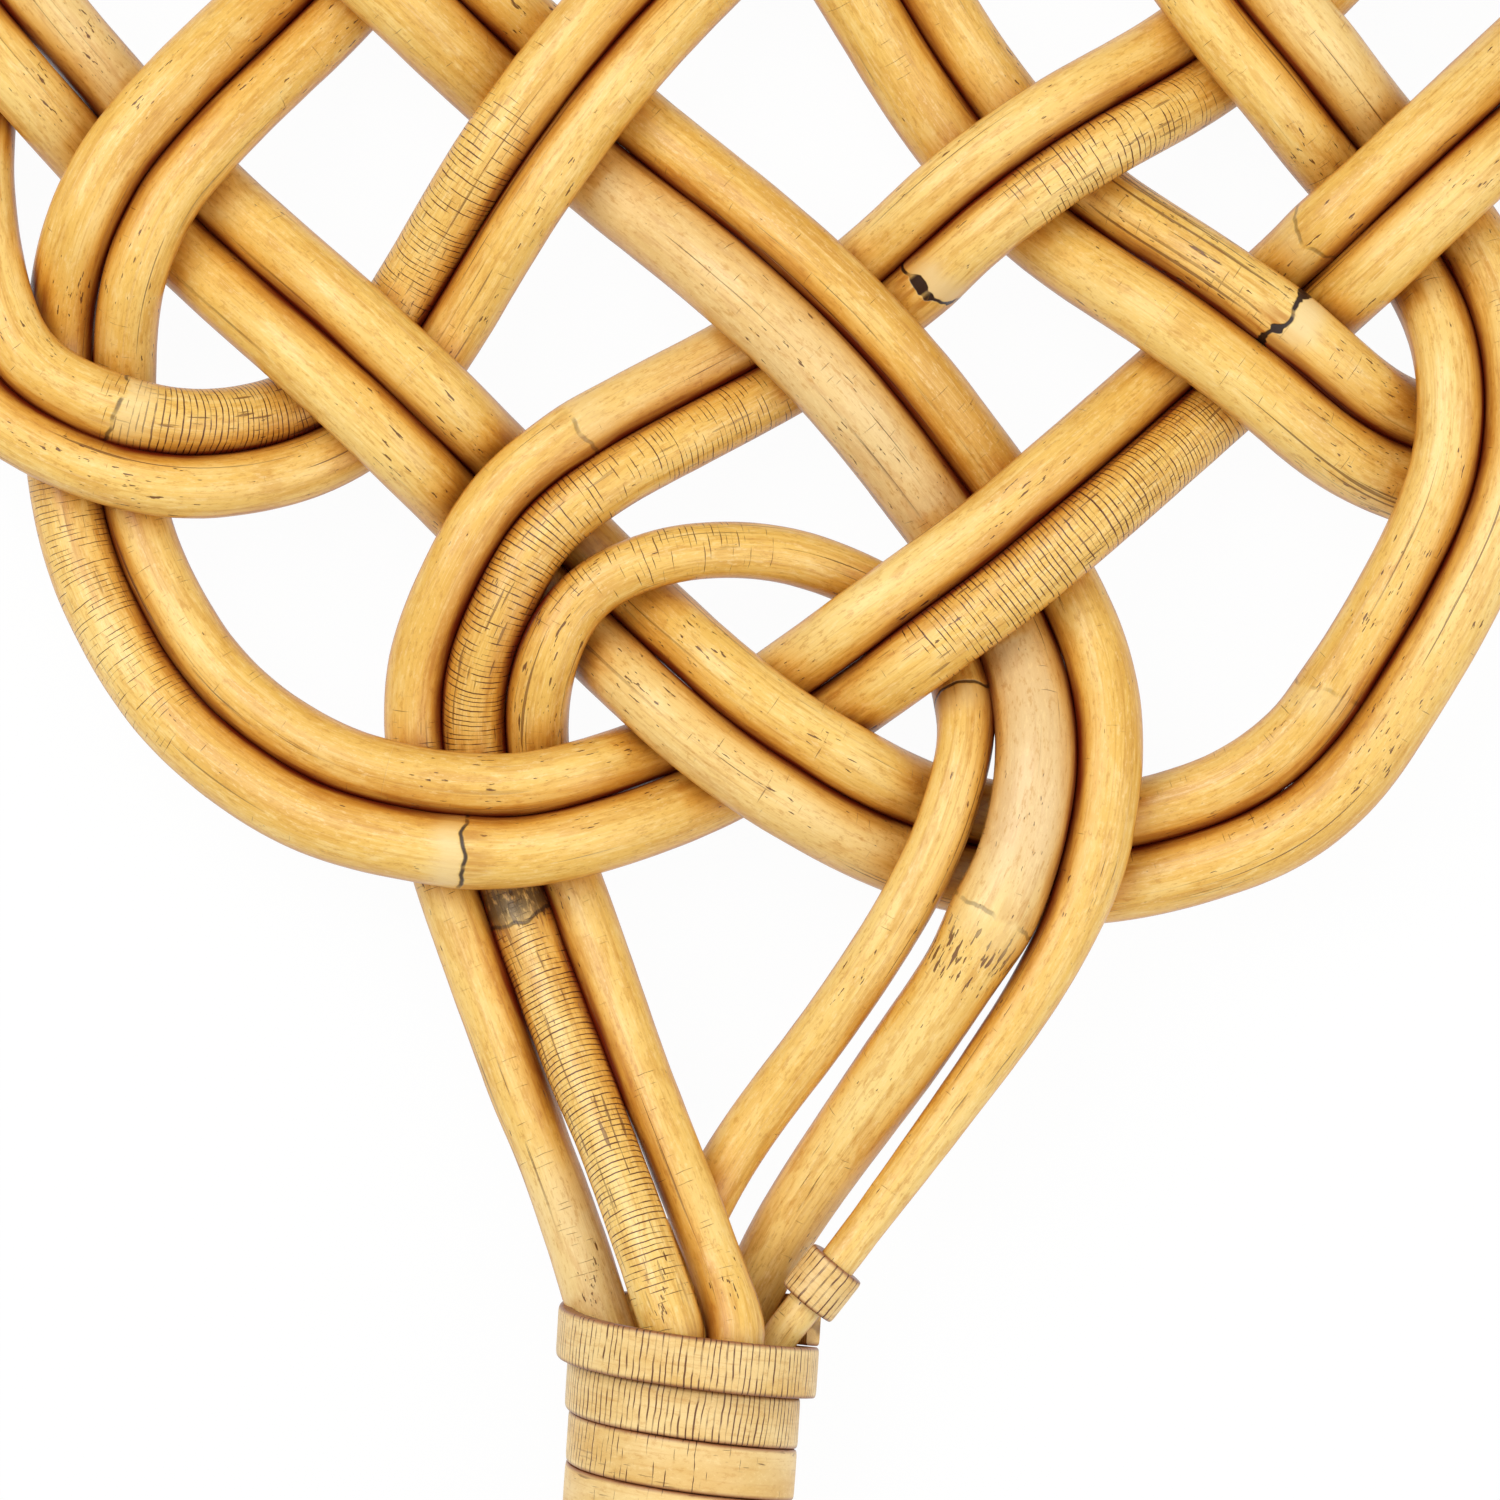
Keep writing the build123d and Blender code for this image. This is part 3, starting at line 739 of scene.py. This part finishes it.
def attribute(tree, key, output="Fac"):
    return add(tree, "ShaderNodeAttribute", attribute_name=key).outputs[output]


def noise(tree, spot, around, lengthways, detail=2.0, roughness=0.5):
    """Noise with that many waves to a metre, around a cane and along it."""
    scaled = calc_vector(tree, "MULTIPLY", spot, (around, around, lengthways))
    return add(tree, "ShaderNodeTexNoise",
               {"Vector": scaled, "Scale": 1.0, "Detail": detail, "Roughness": roughness}).outputs[0]


def ease(tree, value, low, high):
    """0 below the low value, 1 above the high one, smooth between."""
    return add(tree, "ShaderNodeMapRange",
               {"Value": value, "From Min": low, "From Max": high},
               interpolation_type="SMOOTHSTEP", clamp=True).outputs[0]


def mixed(tree, factor, first, second, blend="MIX"):
    """Two colours mixed."""
    made = tree.nodes.new("ShaderNodeMix")
    made.data_type, made.blend_type = "RGBA", blend
    for number, value in ((0, factor), (6, first), (7, second)):
        if isinstance(value, bpy.types.NodeSocket):
            tree.links.new(value, made.inputs[number])
        else:
            made.inputs[number].default_value = value
    return made.outputs[2]


def product(tree, *values):
    result = values[0]
    for value in values[1:]:
        result = calc(tree, "MULTIPLY", result, value)
    return result


def new_finish(name, roughness, coat):
    """A material with its node tree and shader."""
    finish = bpy.data.materials.new(name)
    finish.use_nodes = True
    shader = finish.node_tree.nodes["Principled BSDF"]
    shader.inputs["Roughness"].default_value = roughness
    shader.inputs["Coat Weight"].default_value = coat
    shader.inputs["Coat Roughness"].default_value = coat_roughness
    return finish, finish.node_tree, shader


def raised(tree, shader, height, depth):
    """Bumps of a depth in metres, from a height of 0 to 1."""
    bump = add(tree, "ShaderNodeBump", {"Height": height, "Distance": depth, "Strength": 1.0})
    tree.links.new(bump.outputs[0], shader.inputs["Normal"])


def hairlines(tree, grain, rate, crazing):
    """Fine cracks straight across, a rate to a metre, each broken at its own places."""
    spot = add(tree, "ShaderNodeSeparateXYZ", {0: grain})
    sway = calc(tree, "ADD", product(tree, noise(tree, grain, 70, 60, 1), 1.6),
                product(tree, noise(tree, grain, 420, 160, 1), 0.35))
    turns = calc(tree, "ADD", product(tree, spot.outputs[2], rate), sway)
    turns = calc(tree, "ADD", turns, product(tree, noise(tree, grain, 40, 420, 1), 1.2))
    number = calc(tree, "FLOOR", turns)
    apart = calc(tree, "ABSOLUTE", calc(tree, "SUBTRACT", calc(tree, "FRACT", turns), 0.5))
    own_spot = add(tree, "ShaderNodeCombineXYZ", {
        0: product(tree, spot.outputs[0], 400), 1: product(tree, spot.outputs[1], 400),
        2: product(tree, number, 7.3)}).outputs[0]
    own = add(tree, "ShaderNodeTexNoise", {"Vector": own_spot, "Scale": 1.0, "Detail": 1.0}).outputs[0]
    amount = calc(tree, "ADD", product(tree, own, 0.9), product(tree, noise(tree, grain, 130, 25, 2), 0.6))
    amount = calc(tree, "ADD", amount, crazing)
    widest = calc(tree, "ADD", 0.06, product(tree, calc(tree, "MAXIMUM", crazing, 0), 0.1))
    thickness = calc(tree, "MINIMUM", product(tree, calc(tree, "SUBTRACT", amount, 0.87), 0.5), widest)
    lines = ease(tree, calc(tree, "SUBTRACT", apart, thickness), 0.02, -0.03)
    return product(tree, lines, calc(tree, "ADD", ease(tree, own, 0.35, 0.6), 0.45))


def varnished_cane(name, light, middle, deep):
    """Rattan with its glossy skin: fibres, pits, crazing, joints, and painted shade in the crevices and on
    the flanks.
    """
    finish, tree, shader = new_finish(name, cane_roughness, cane_coat)
    grain = attribute(tree, "grain", "Vector")
    clouds = calc(tree, "ADD", product(tree, noise(tree, grain, 90, 22, 3), 0.6),
                  product(tree, noise(tree, grain, 12, 9, 1), 0.4))
    clouds = calc(tree, "ADD", clouds, product(tree, attribute(tree, "pale"), 0.28))
    tint = mixed(tree, ease(tree, clouds, 0.28, 0.5), deep, middle)
    tint = mixed(tree, ease(tree, clouds, 0.46, 0.74), tint, light)
    mottle = noise(tree, grain, 420, 110, 3, 0.6)
    tint = mixed(tree, product(tree, ease(tree, mottle, 0.54, 0.62), 0.45), tint, deep)
    tint = mixed(tree, product(tree, ease(tree, mottle, 0.44, 0.36), 0.4), tint, light)
    streaks = noise(tree, grain, 1200, 14, 3, 0.6)
    fibres = noise(tree, grain, 3200, 45, 4, 0.75)
    tint = mixed(tree, product(tree, ease(tree, streaks, 0.54, 0.66), 0.34), tint, streak_colour)
    tint = mixed(tree, product(tree, ease(tree, streaks, 0.46, 0.34), 0.25), tint, light)
    tint = mixed(tree, product(tree, ease(tree, fibres, 0.52, 0.7), 0.42), tint, streak_colour)
    tint = mixed(tree, product(tree, ease(tree, fibres, 0.46, 0.34), 0.3), tint, glint_colour)
    tint = mixed(tree, product(tree, attribute(tree, "pale"), 0.7), tint, bleached_colour)
    grit = noise(tree, grain, 1900, 600, 3, 0.75)
    tint = mixed(tree, product(tree, ease(tree, grit, 0.53, 0.68), 0.5), tint, streak_colour)
    tint = mixed(tree, product(tree, ease(tree, grit, 0.46, 0.32), 0.4), tint, glint_colour)

    # Short dark pits, few on most of the cane and many long ones on some stretches
    pitted = attribute(tree, "pitted")
    pits = noise(tree, grain, 2400, 480, 2, 0.6)
    patches = ease(tree, noise(tree, grain, 130, 60, 2), 0.5, 0.7)
    level = calc(tree, "SUBTRACT", 0.74, product(tree, calc(tree, "MAXIMUM", patches, pitted), 0.1))
    pits = ease(tree, calc(tree, "SUBTRACT", pits, level), 0.0, 0.03)
    gashes = noise(tree, grain, 1300, 230, 2, 0.5)
    level = calc(tree, "SUBTRACT", 0.94, product(tree, pitted, 0.39))
    pits = calc(tree, "MAXIMUM", pits, ease(tree, calc(tree, "SUBTRACT", gashes, level), 0.0, 0.03))

    # Hairline cracks across the cane, most on crazed stretches, and dark splits along it
    crazed = attribute(tree, "crazed")
    lines = hairlines(tree, grain, crack_rate,
                      calc(tree, "SUBTRACT", product(tree, crazed, 0.4), 0.06))
    splits = calc(tree, "ADD", noise(tree, grain, 1500, 20, 3, 0.6), product(tree, pitted, 0.09))
    splits = product(tree, ease(tree, splits, 0.64, 0.68),
                     ease(tree, noise(tree, grain, 200, 20, 2), 0.46, 0.58))
    ticks = ease(tree, noise(tree, grain, 2000, 150, 1), 0.68, 0.72)
    splits = calc(tree, "MAXIMUM", splits, product(tree, ticks, crazed))
    lines = product(tree, lines, calc(tree, "ADD", product(tree, crazed, 0.6), 0.4))
    marks = calc(tree, "MAXIMUM", calc(tree, "MAXIMUM", lines, pits), product(tree, splits, 0.8))
    tint = mixed(tree, product(tree, marks, 0.9), tint, crack_colour)

    # Joints: a dark crack across, with a pale scar above it and a brown one below
    way = calc(tree, "ADD", attribute(tree, "joint_way"),
               product(tree, calc(tree, "SUBTRACT", noise(tree, grain, 130, 20, 3), 0.5), 6 * mm))
    dark = attribute(tree, "joint_dark")
    notch = product(tree, ease(tree, noise(tree, grain, 300, 60, 2), 0.46, 0.6),
                    ease(tree, dark, 1.0, 1.3))
    ring = calc(tree, "SUBTRACT", calc(tree, "ABSOLUTE", way), product(tree, notch, 0.7 * mm))
    ring = ease(tree, ring, 0.38 * mm, 0.12 * mm)
    scar = product(tree, ease(tree, way, -0.2 * mm, 0.8 * mm), ease(tree, way, 5.5 * mm, 2 * mm))
    soil = product(tree, ease(tree, way, 0.3 * mm, -0.6 * mm), ease(tree, way, -5 * mm, -1 * mm),
                   ease(tree, noise(tree, grain, 900, 90, 3), 0.42, 0.6))
    tint = mixed(tree, product(tree, scar, dark, 0.75), tint, scar_colour)
    tint = mixed(tree, product(tree, soil, dark, 0.7), tint, streak_colour)
    moss = product(tree, attribute(tree, "mossy"),
                   ease(tree, noise(tree, grain, 1500, 700, 3), 0.3, 0.5))
    tint = mixed(tree, product(tree, moss, 0.8), tint, moss_colour)
    broken = ease(tree, noise(tree, grain, 260, 100, 2), 0.36, 0.5)
    ring = product(tree, ring, dark, calc(tree, "MAXIMUM", broken, notch))
    tint = mixed(tree, product(tree, ring, 0.95), tint, soot_colour)

    # Painted shade: brown darkening, blotched by noise, where canes lie close together and on their
    # flanks, with a wide amber fringe
    shade_amount = attribute(tree, "shade_amount")
    blotch = calc(tree, "ADD", product(tree, noise(tree, grain, 700, 90, 3), 1.2), 0.4)
    tint = mixed(tree, ease(tree, product(tree, shade_amount, blotch), 0.0, 0.5), tint, amber_shade_colour,
                 "MULTIPLY")
    shade_amount = ease(tree, product(tree, shade_amount, blotch), 0.2, 0.95)
    tint = mixed(tree, shade_amount, tint, painted_shade_colour, "MULTIPLY")
    tree.links.new(tint, shader.inputs["Base Color"])

    height = calc(tree, "SUBTRACT", calc(tree, "ADD", product(tree, fibres, 0.35),
                                         product(tree, streaks, 0.4)),
                  calc(tree, "MAXIMUM", marks, ring))
    raised(tree, shader, height, bump_depth)
    return finish


def split_cane(name, light, deep):
    """The pale flat cane of the bindings: fine fibres along it, cracks across it, and painted shade along
    its edges.
    """
    finish, tree, shader = new_finish(name, strip_roughness, cane_coat)
    grain = attribute(tree, "grain", "Vector")
    rim = add(tree, "ShaderNodeSeparateXYZ", {0: attribute(tree, "rim", "Vector")}).outputs[1]
    clouds = noise(tree, grain, 160, 60, 3)
    tint = mixed(tree, ease(tree, clouds, 0.3, 0.7), deep, light)
    fibres = noise(tree, grain, 2600, 120, 3, 0.65)
    tint = mixed(tree, product(tree, ease(tree, fibres, 0.5, 0.75), 0.35), tint, streak_colour)
    grit = noise(tree, grain, 1500, 900, 3, 0.75)
    tint = mixed(tree, product(tree, ease(tree, grit, 0.53, 0.68), 0.35), tint, streak_colour)
    tint = mixed(tree, product(tree, ease(tree, grit, 0.46, 0.32), 0.3), tint, glint_colour)
    length = add(tree, "ShaderNodeSeparateXYZ", {0: grain}).outputs[2]
    length = calc(tree, "ADD", length, product(tree, noise(tree, grain, 200, 50, 2), 40 * mm))
    glossy = ease(tree, length, crazed_strip_length, crazed_strip_length + 50 * mm)
    cracks = hairlines(tree, grain, strip_crack_rate,
                       calc(tree, "SUBTRACT", 0.4, product(tree, glossy, 0.4)))
    dashes = ease(tree, noise(tree, grain, 2400, 260, 2), 0.62, 0.68)
    dashes = product(tree, dashes, glossy, ease(tree, noise(tree, grain, 180, 70, 2), 0.46, 0.58))
    marks = calc(tree, "MAXIMUM", product(tree, cracks, 0.8), dashes)
    tint = mixed(tree, product(tree, marks, 0.85), tint, crack_colour)
    # Painted shade: the strip darkens in brown towards its two edges, where the turns meet
    edge_shade = ease(tree, calc(tree, "ABSOLUTE", rim), 0.8, 1.0)
    tint = mixed(tree, product(tree, edge_shade, 0.85), tint, painted_shade_colour, "MULTIPLY")
    tree.links.new(tint, shader.inputs["Base Color"])
    raised(tree, shader, calc(tree, "SUBTRACT", product(tree, fibres, 0.5), marks), bump_depth)
    return finish


def end_grain(name, light, deep):
    """Cut ends of cane: a pale ground full of small dark pores."""
    finish, tree, shader = new_finish(name, 0.75, 0.0)
    spot = add(tree, "ShaderNodeTexCoord").outputs["Object"]
    pores = add(tree, "ShaderNodeTexVoronoi", {"Vector": spot, "Scale": pore_rate}).outputs[0]
    tint = mixed(tree, noise(tree, spot, 300, 300, 3), deep, light)
    tint = mixed(tree, product(tree, ease(tree, pores, 0.4, 0.2), 0.8), tint, crack_colour)
    tree.links.new(tint, shader.inputs["Base Color"])
    raised(tree, shader, ease(tree, pores, 0.2, 0.5), bump_depth)
    return finish


def peeled_wood(name, light, deep):
    """The bare core stick: dull straw wood with long grain along Y."""
    finish, tree, shader = new_finish(name, 0.7, 0.0)
    spot = add(tree, "ShaderNodeTexCoord").outputs["Object"]
    long_grain = calc_vector(tree, "MULTIPLY", spot, (1800, 30, 1800))
    fibres = add(tree, "ShaderNodeTexNoise",
                 {"Vector": long_grain, "Scale": 1.0, "Detail": 4.0}).outputs[0]
    tint = mixed(tree, ease(tree, fibres, 0.3, 0.7), deep, light)
    tree.links.new(tint, shader.inputs["Base Color"])
    raised(tree, shader, fibres, bump_depth)
    return finish


def painted_crevice_shade(points, mesh, sides, all_points, all_radii, first):
    """For each vertex of a swept cane, how much painted shade it gets, from 0 to 1, the more the nearer it
    is to another cane.

    The other canes are all points but those of the same cane a short way along. The vertices
    come in rings, one for each point of the cane. Its sideways flanks get painted shade too.
    """
    spots = np.empty(len(mesh.vertices) * 3, np.float32)
    mesh.vertices.foreach_get("co", spots)
    spots = spots.reshape(-1, 3)
    tree = kdtree.KDTree(len(all_points))
    for number, point in enumerate(all_points):
        tree.insert(point, number)
    tree.balance()
    near_own = round(own_stretch / ring_pitch)
    normals = np.empty(len(mesh.vertices) * 3, np.float32)
    mesh.vertex_normals.foreach_get("vector", normals)
    slope = abs(normals.reshape(-1, 3)[:, 2])
    # Painted shade on the flanks, where the surface faces sideways
    shade_amount = flank_shade * smooth_step(1 - slope / flank_slope)
    # Painted shade, darker the nearer another cane lies
    for number, point in enumerate(points):
        found = np.array([other for _, other, _ in tree.find_range(point, shade_search)])
        found = found[abs(found - first - number) > near_own]
        if len(found) == 0:
            continue
        ring = slice(number * sides, (number + 1) * sides)
        apart = np.linalg.norm(spots[ring, None] - all_points[None, found], axis=2)
        gap = (apart - all_radii[found]).min(axis=1)
        shade_amount[ring] = np.maximum(shade_amount[ring], np.exp(-np.maximum(gap, 0) / shade_reach))
    return shade_amount.astype(np.float32)


def cane_pieces(lines, finish, cut_finish):
    """The three canes of the head, from butt to butt."""
    draws = np.random.default_rng(random_seed)
    tree = swept_tree("round cane", round_section, False)
    order = list(lines)
    all_points = np.vstack([lines[name][0] for name in order])
    all_radii = np.concatenate([lines[name][1] for name in order])
    made, first = {}, 0
    for name in order:
        middle, radii = lines[name]
        walked = lengths_along(middle)
        signed, dark = joint_distances(walked, joints_along(name, middle, walked, draws))
        swelling = joint_swell_share * np.exp(-(signed / joint_swell_length) ** 2 / 2)
        line = line_object(name, middle + mouth_place, {
            "girth": radii * (1 + swelling), "along": walked,
            "joint_way": signed, "joint_dark": dark,
            "crazed": stretch_strength(name, middle, walked, crazed_stretches),
            "pitted": stretch_strength(name, middle, walked, pitted_stretches),
            "mossy": stretch_strength(name, middle, walked, mossy_stretches),
            "pale": stretch_strength(name, middle, walked, pale_stretches)})
        piece = grown(name.replace("_", " "), line, tree, cane_sides, cane_unevenness, finish)
        piece.name = "rattan_" + name
        # Painted shade baked into the vertices, near other canes and on the flanks
        shade_amount = painted_crevice_shade(middle + mouth_place, piece.data, cane_sides,
                              all_points + mouth_place, all_radii, first)
        piece.data.attributes.new("shade_amount", "FLOAT", "POINT").data.foreach_set("value", shade_amount)
        piece.data.materials.append(cut_finish)
        for face in piece.data.polygons:
            if face.loop_total > 4:
                face.material_index = len(piece.data.materials) - 1
        made[name] = piece
        first += len(middle)
    return made


def winding(turns, start, pitch, radius_at, steps, early=0):
    """A winding's middle line round the Y axis from behind it, and its outward ways.

    It starts an early part of a turn before it is right behind the axis.
    """
    turn = np.linspace(-early, turns, math.ceil((turns + early) * steps) + 1)
    along = start - pitch * turn
    angle = 2 * math.pi * (turn + 0.5)
    outward = np.column_stack((np.sin(angle), np.zeros(len(turn)), np.cos(angle)))
    middle = outward * radius_at(along)[:, None]
    middle[:, 1] = along
    return middle, outward


def strip_line(name, windings, width):
    """A line object for flat strips, each given by its middle line and outward ways."""
    middles, outwards = zip(*windings)
    starts = np.cumsum([len(middle) for middle in middles])[:-1]
    return line_object(name, np.vstack(middles), {
        "girth": np.full(sum(map(len, middles)), width / 2),
        "along": np.concatenate([lengths_along(middle) for middle in middles]),
        "outward": np.vstack(outwards)}, set(starts))


def handle_windings(tree, finish):
    """The neck and butt bindings, each one unbroken strip."""
    butt_start = butt_margin + strip_width + strip_pitch * butt_turns - handle_length
    windings = []
    for turns, start, early in ((neck_turns, -neck_start, early_turn),
                                (butt_turns, butt_start, 0)):
        middle, outward = winding(turns, start - strip_width / 2, strip_pitch,
                                  np.vectorize(strip_radius), strip_steps, early)
        windings.append((middle + mouth_place, outward))
    line = strip_line("windings", windings, shown_strip_width)
    return grown("split_cane_bindings", line, tree, strip_sides, strip_unevenness, finish)


def right_leg_cuff(tree, lines, finish):
    """The short strip round the right leg of the outer cane, above the handle's mouth."""
    middle, radii = lines["outer_cane"]
    mouth = int(np.argmax(np.arange(len(middle)) * (middle[:, 1] > mouth_height)))
    walked = lengths_along(middle)
    centre = nearest(walked[:, None], walked[mouth] - cuff_rise)
    up = middle[centre - 3] - middle[centre + 3]
    up /= np.linalg.norm(up)
    across = np.cross(up, (0, 0, 1))
    across /= np.linalg.norm(across)
    turned = np.column_stack((across, up, np.cross(across, up)))
    reach = radii[centre] + strip_seat + cuff_thickness / 2
    ring, outward = winding(cuff_turns, cuff_pitch * cuff_turns / 2, cuff_pitch,
                            lambda along: np.full(len(along), reach), strip_steps)
    turned_ring = ring @ turned.T + middle[centre] + mouth_place
    line = strip_line("cuff", [(turned_ring, outward @ turned.T)], cuff_width)
    return grown("split_cane_cuff", line, tree, strip_sides, strip_unevenness, finish)


def eye_of_thin_cane(finish, cut_finish):
    """The hanging loop: a thin cane whose two legs run up inside the handle."""
    leg = (loop_diameter + loop_gap) / 2
    reach = (loop_width - loop_diameter) / 2
    middle = np.array((0, reach + loop_diameter / 2 - loop_length - handle_length, 0))
    butt = np.array((leg, -handle_length - loop_diameter / 2, 0))
    far = np.linalg.norm(butt - middle)
    first = math.pi / 2 - math.asin(leg / far) - math.acos(reach / far)
    turn = first - (2 * first + math.pi) * np.linspace(0, 1, loop_steps + 1)
    eye = middle + reach * np.column_stack((np.cos(turn), np.sin(turn), np.zeros(len(turn))))
    top = np.array((leg, loop_insert - handle_length, 0))
    legs = np.array((top, butt))
    route = np.vstack((legs, eye, legs[::-1] * (-1, 1, 1)))
    line = smooth_line(route, ring_pitch)
    flat = np.zeros(len(line))
    shape = line_object("loop", line + mouth_place, {
        "girth": np.full(len(line), loop_diameter / 2), "along": lengths_along(line),
        "joint_way": flat + joint_reach, "joint_dark": flat, "pitted": flat,
        "crazed": flat + 0.3, "pale": flat, "mossy": flat, "shade_amount": flat})
    tree = swept_tree("thin cane", round_section, False)
    piece = grown("rattan_hanging_loop", shape, tree, loop_sides, loop_unevenness, finish)
    piece.data.materials.append(cut_finish)
    for face in piece.data.polygons:
        if face.loop_total > 4:
            face.material_index = len(piece.data.materials) - 1
    return piece


def area_lamp(name, away, size, power):
    """A square lamp at a place from the middle of the picture, aimed at that middle."""
    light = bpy.data.lights.new(name, "AREA")
    light.size, light.energy = size, power
    lamp = bpy.data.objects.new(name, light)
    lamp.location = picture_middle + Vector(away)
    lamp.rotation_euler = (-Vector(away)).to_track_quat("-Z", "Y").to_euler()
    bpy.context.scene.collection.objects.link(lamp)


def white_ground():
    """A white floor that shows a little of the beater's shadow."""
    mesh = bpy.data.meshes.new("ground")
    half = ground_size / 2
    mesh.from_pydata([(x, y, -ground_depth) for x, y in
                      ((-half, -half), (half, -half), (half, half), (-half, half))],
                     [], [(0, 1, 2, 3)])
    ground = bpy.data.objects.new("ground", mesh)
    bpy.context.scene.collection.objects.link(ground)
    finish = bpy.data.materials.new("white ground")
    finish.use_nodes = True
    tree = finish.node_tree
    tree.nodes.clear()
    paper = add(tree, "ShaderNodeBsdfDiffuse", {"Color": (0.9, 0.9, 0.9, 1)}).outputs[0]
    glow = add(tree, "ShaderNodeEmission", {"Color": (1, 1, 1, 1), "Strength": 1.0}).outputs[0]
    path = add(tree, "ShaderNodeLightPath").outputs
    seen = path["Is Camera Ray"]
    for other in ("Is Glossy Ray", "Is Transmission Ray"):
        seen = calc(tree, "MAXIMUM", seen, path[other])
    mixed_ground = add(tree, "ShaderNodeMixShader",
                       {0: product(tree, seen, ground_glow), 1: paper, 2: glow})
    out = tree.nodes.new("ShaderNodeOutputMaterial")
    tree.links.new(mixed_ground.outputs[0], out.inputs[0])
    mesh.materials.append(finish)


def camera_above():
    """The camera straight above the middle of the picture, turned as the picture is."""
    seen = bpy.data.cameras.new("camera")
    seen.sensor_width = sensor_width
    picture_width = picture_size * pixel
    seen.lens = sensor_width * (camera_height - head_middle_height) / picture_width
    seen.clip_end = 10
    camera = bpy.data.objects.new("camera", seen)
    camera.location = (picture_middle.x, picture_middle.y, camera_height)
    camera.rotation_euler = (0, 0, picture_lean)
    bpy.context.scene.collection.objects.link(camera)
    bpy.context.scene.camera = camera


# Finishes
streak_colour = colour(196, 136, 48)
glint_colour = colour(250, 222, 158)
bleached_colour = colour(224, 188, 140)
scar_colour = colour(238, 208, 146)
# Amber and brown of the painted shade between canes and along the strips' edges
amber_shade_colour = colour(243, 214, 146)
painted_shade_colour = colour(140, 60, 10)
crack_colour = colour(104, 56, 14)
moss_colour = colour(74, 52, 16)
soot_colour = colour(44, 24, 12)
cane_finish = varnished_cane("varnished rattan", colour(248, 217, 138), colour(236, 190, 92),
                             colour(212, 154, 56))
strip_finish = split_cane("split cane", colour(240, 208, 142), colour(222, 178, 98))
cut_cane = end_grain("cut cane", colour(214, 180, 120), colour(150, 108, 62))
stick_finish = peeled_wood("peeled stick", colour(220, 192, 140), colour(182, 146, 92))

# Pieces
lines = cane_lines()
pieces = cane_pieces(lines, cane_finish, cut_cane)
strip_tree = swept_tree("split cane", crowned_section, True)
pieces["handle_bindings"] = handle_windings(strip_tree, strip_finish)
pieces["leg_cuff"] = right_leg_cuff(strip_tree, lines, strip_finish)
pieces["hanging_loop"] = eye_of_thin_cane(cane_finish, cut_cane)
for node, piece in pieces.items():
    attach(piece, "root")
    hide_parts(node)
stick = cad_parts["handle_core"]
for material_slot in stick.material_slots:
    material_slot.material = stick_finish

# Floor, camera and lamps
middle_spot = place([(picture_size / 2, picture_size / 2)])[0]
picture_middle = Vector((*(middle_spot + mouth_place[:2]), head_middle_height))
white_ground()
camera_above()
area_lamp("window", (-0.55, 0.45, 1.0), 0.9, key_power)
area_lamp("reflector", (0.7, -0.2, 0.9), 1.2, fill_power)
world = bpy.data.worlds.new("studio")
world.use_nodes = True
world.node_tree.nodes["Background"].inputs[0].default_value = (1, 1, 1, 1)
world.node_tree.nodes["Background"].inputs[1].default_value = world_light
bpy.context.scene.world = world
bpy.context.scene.view_settings.view_transform = "Standard"
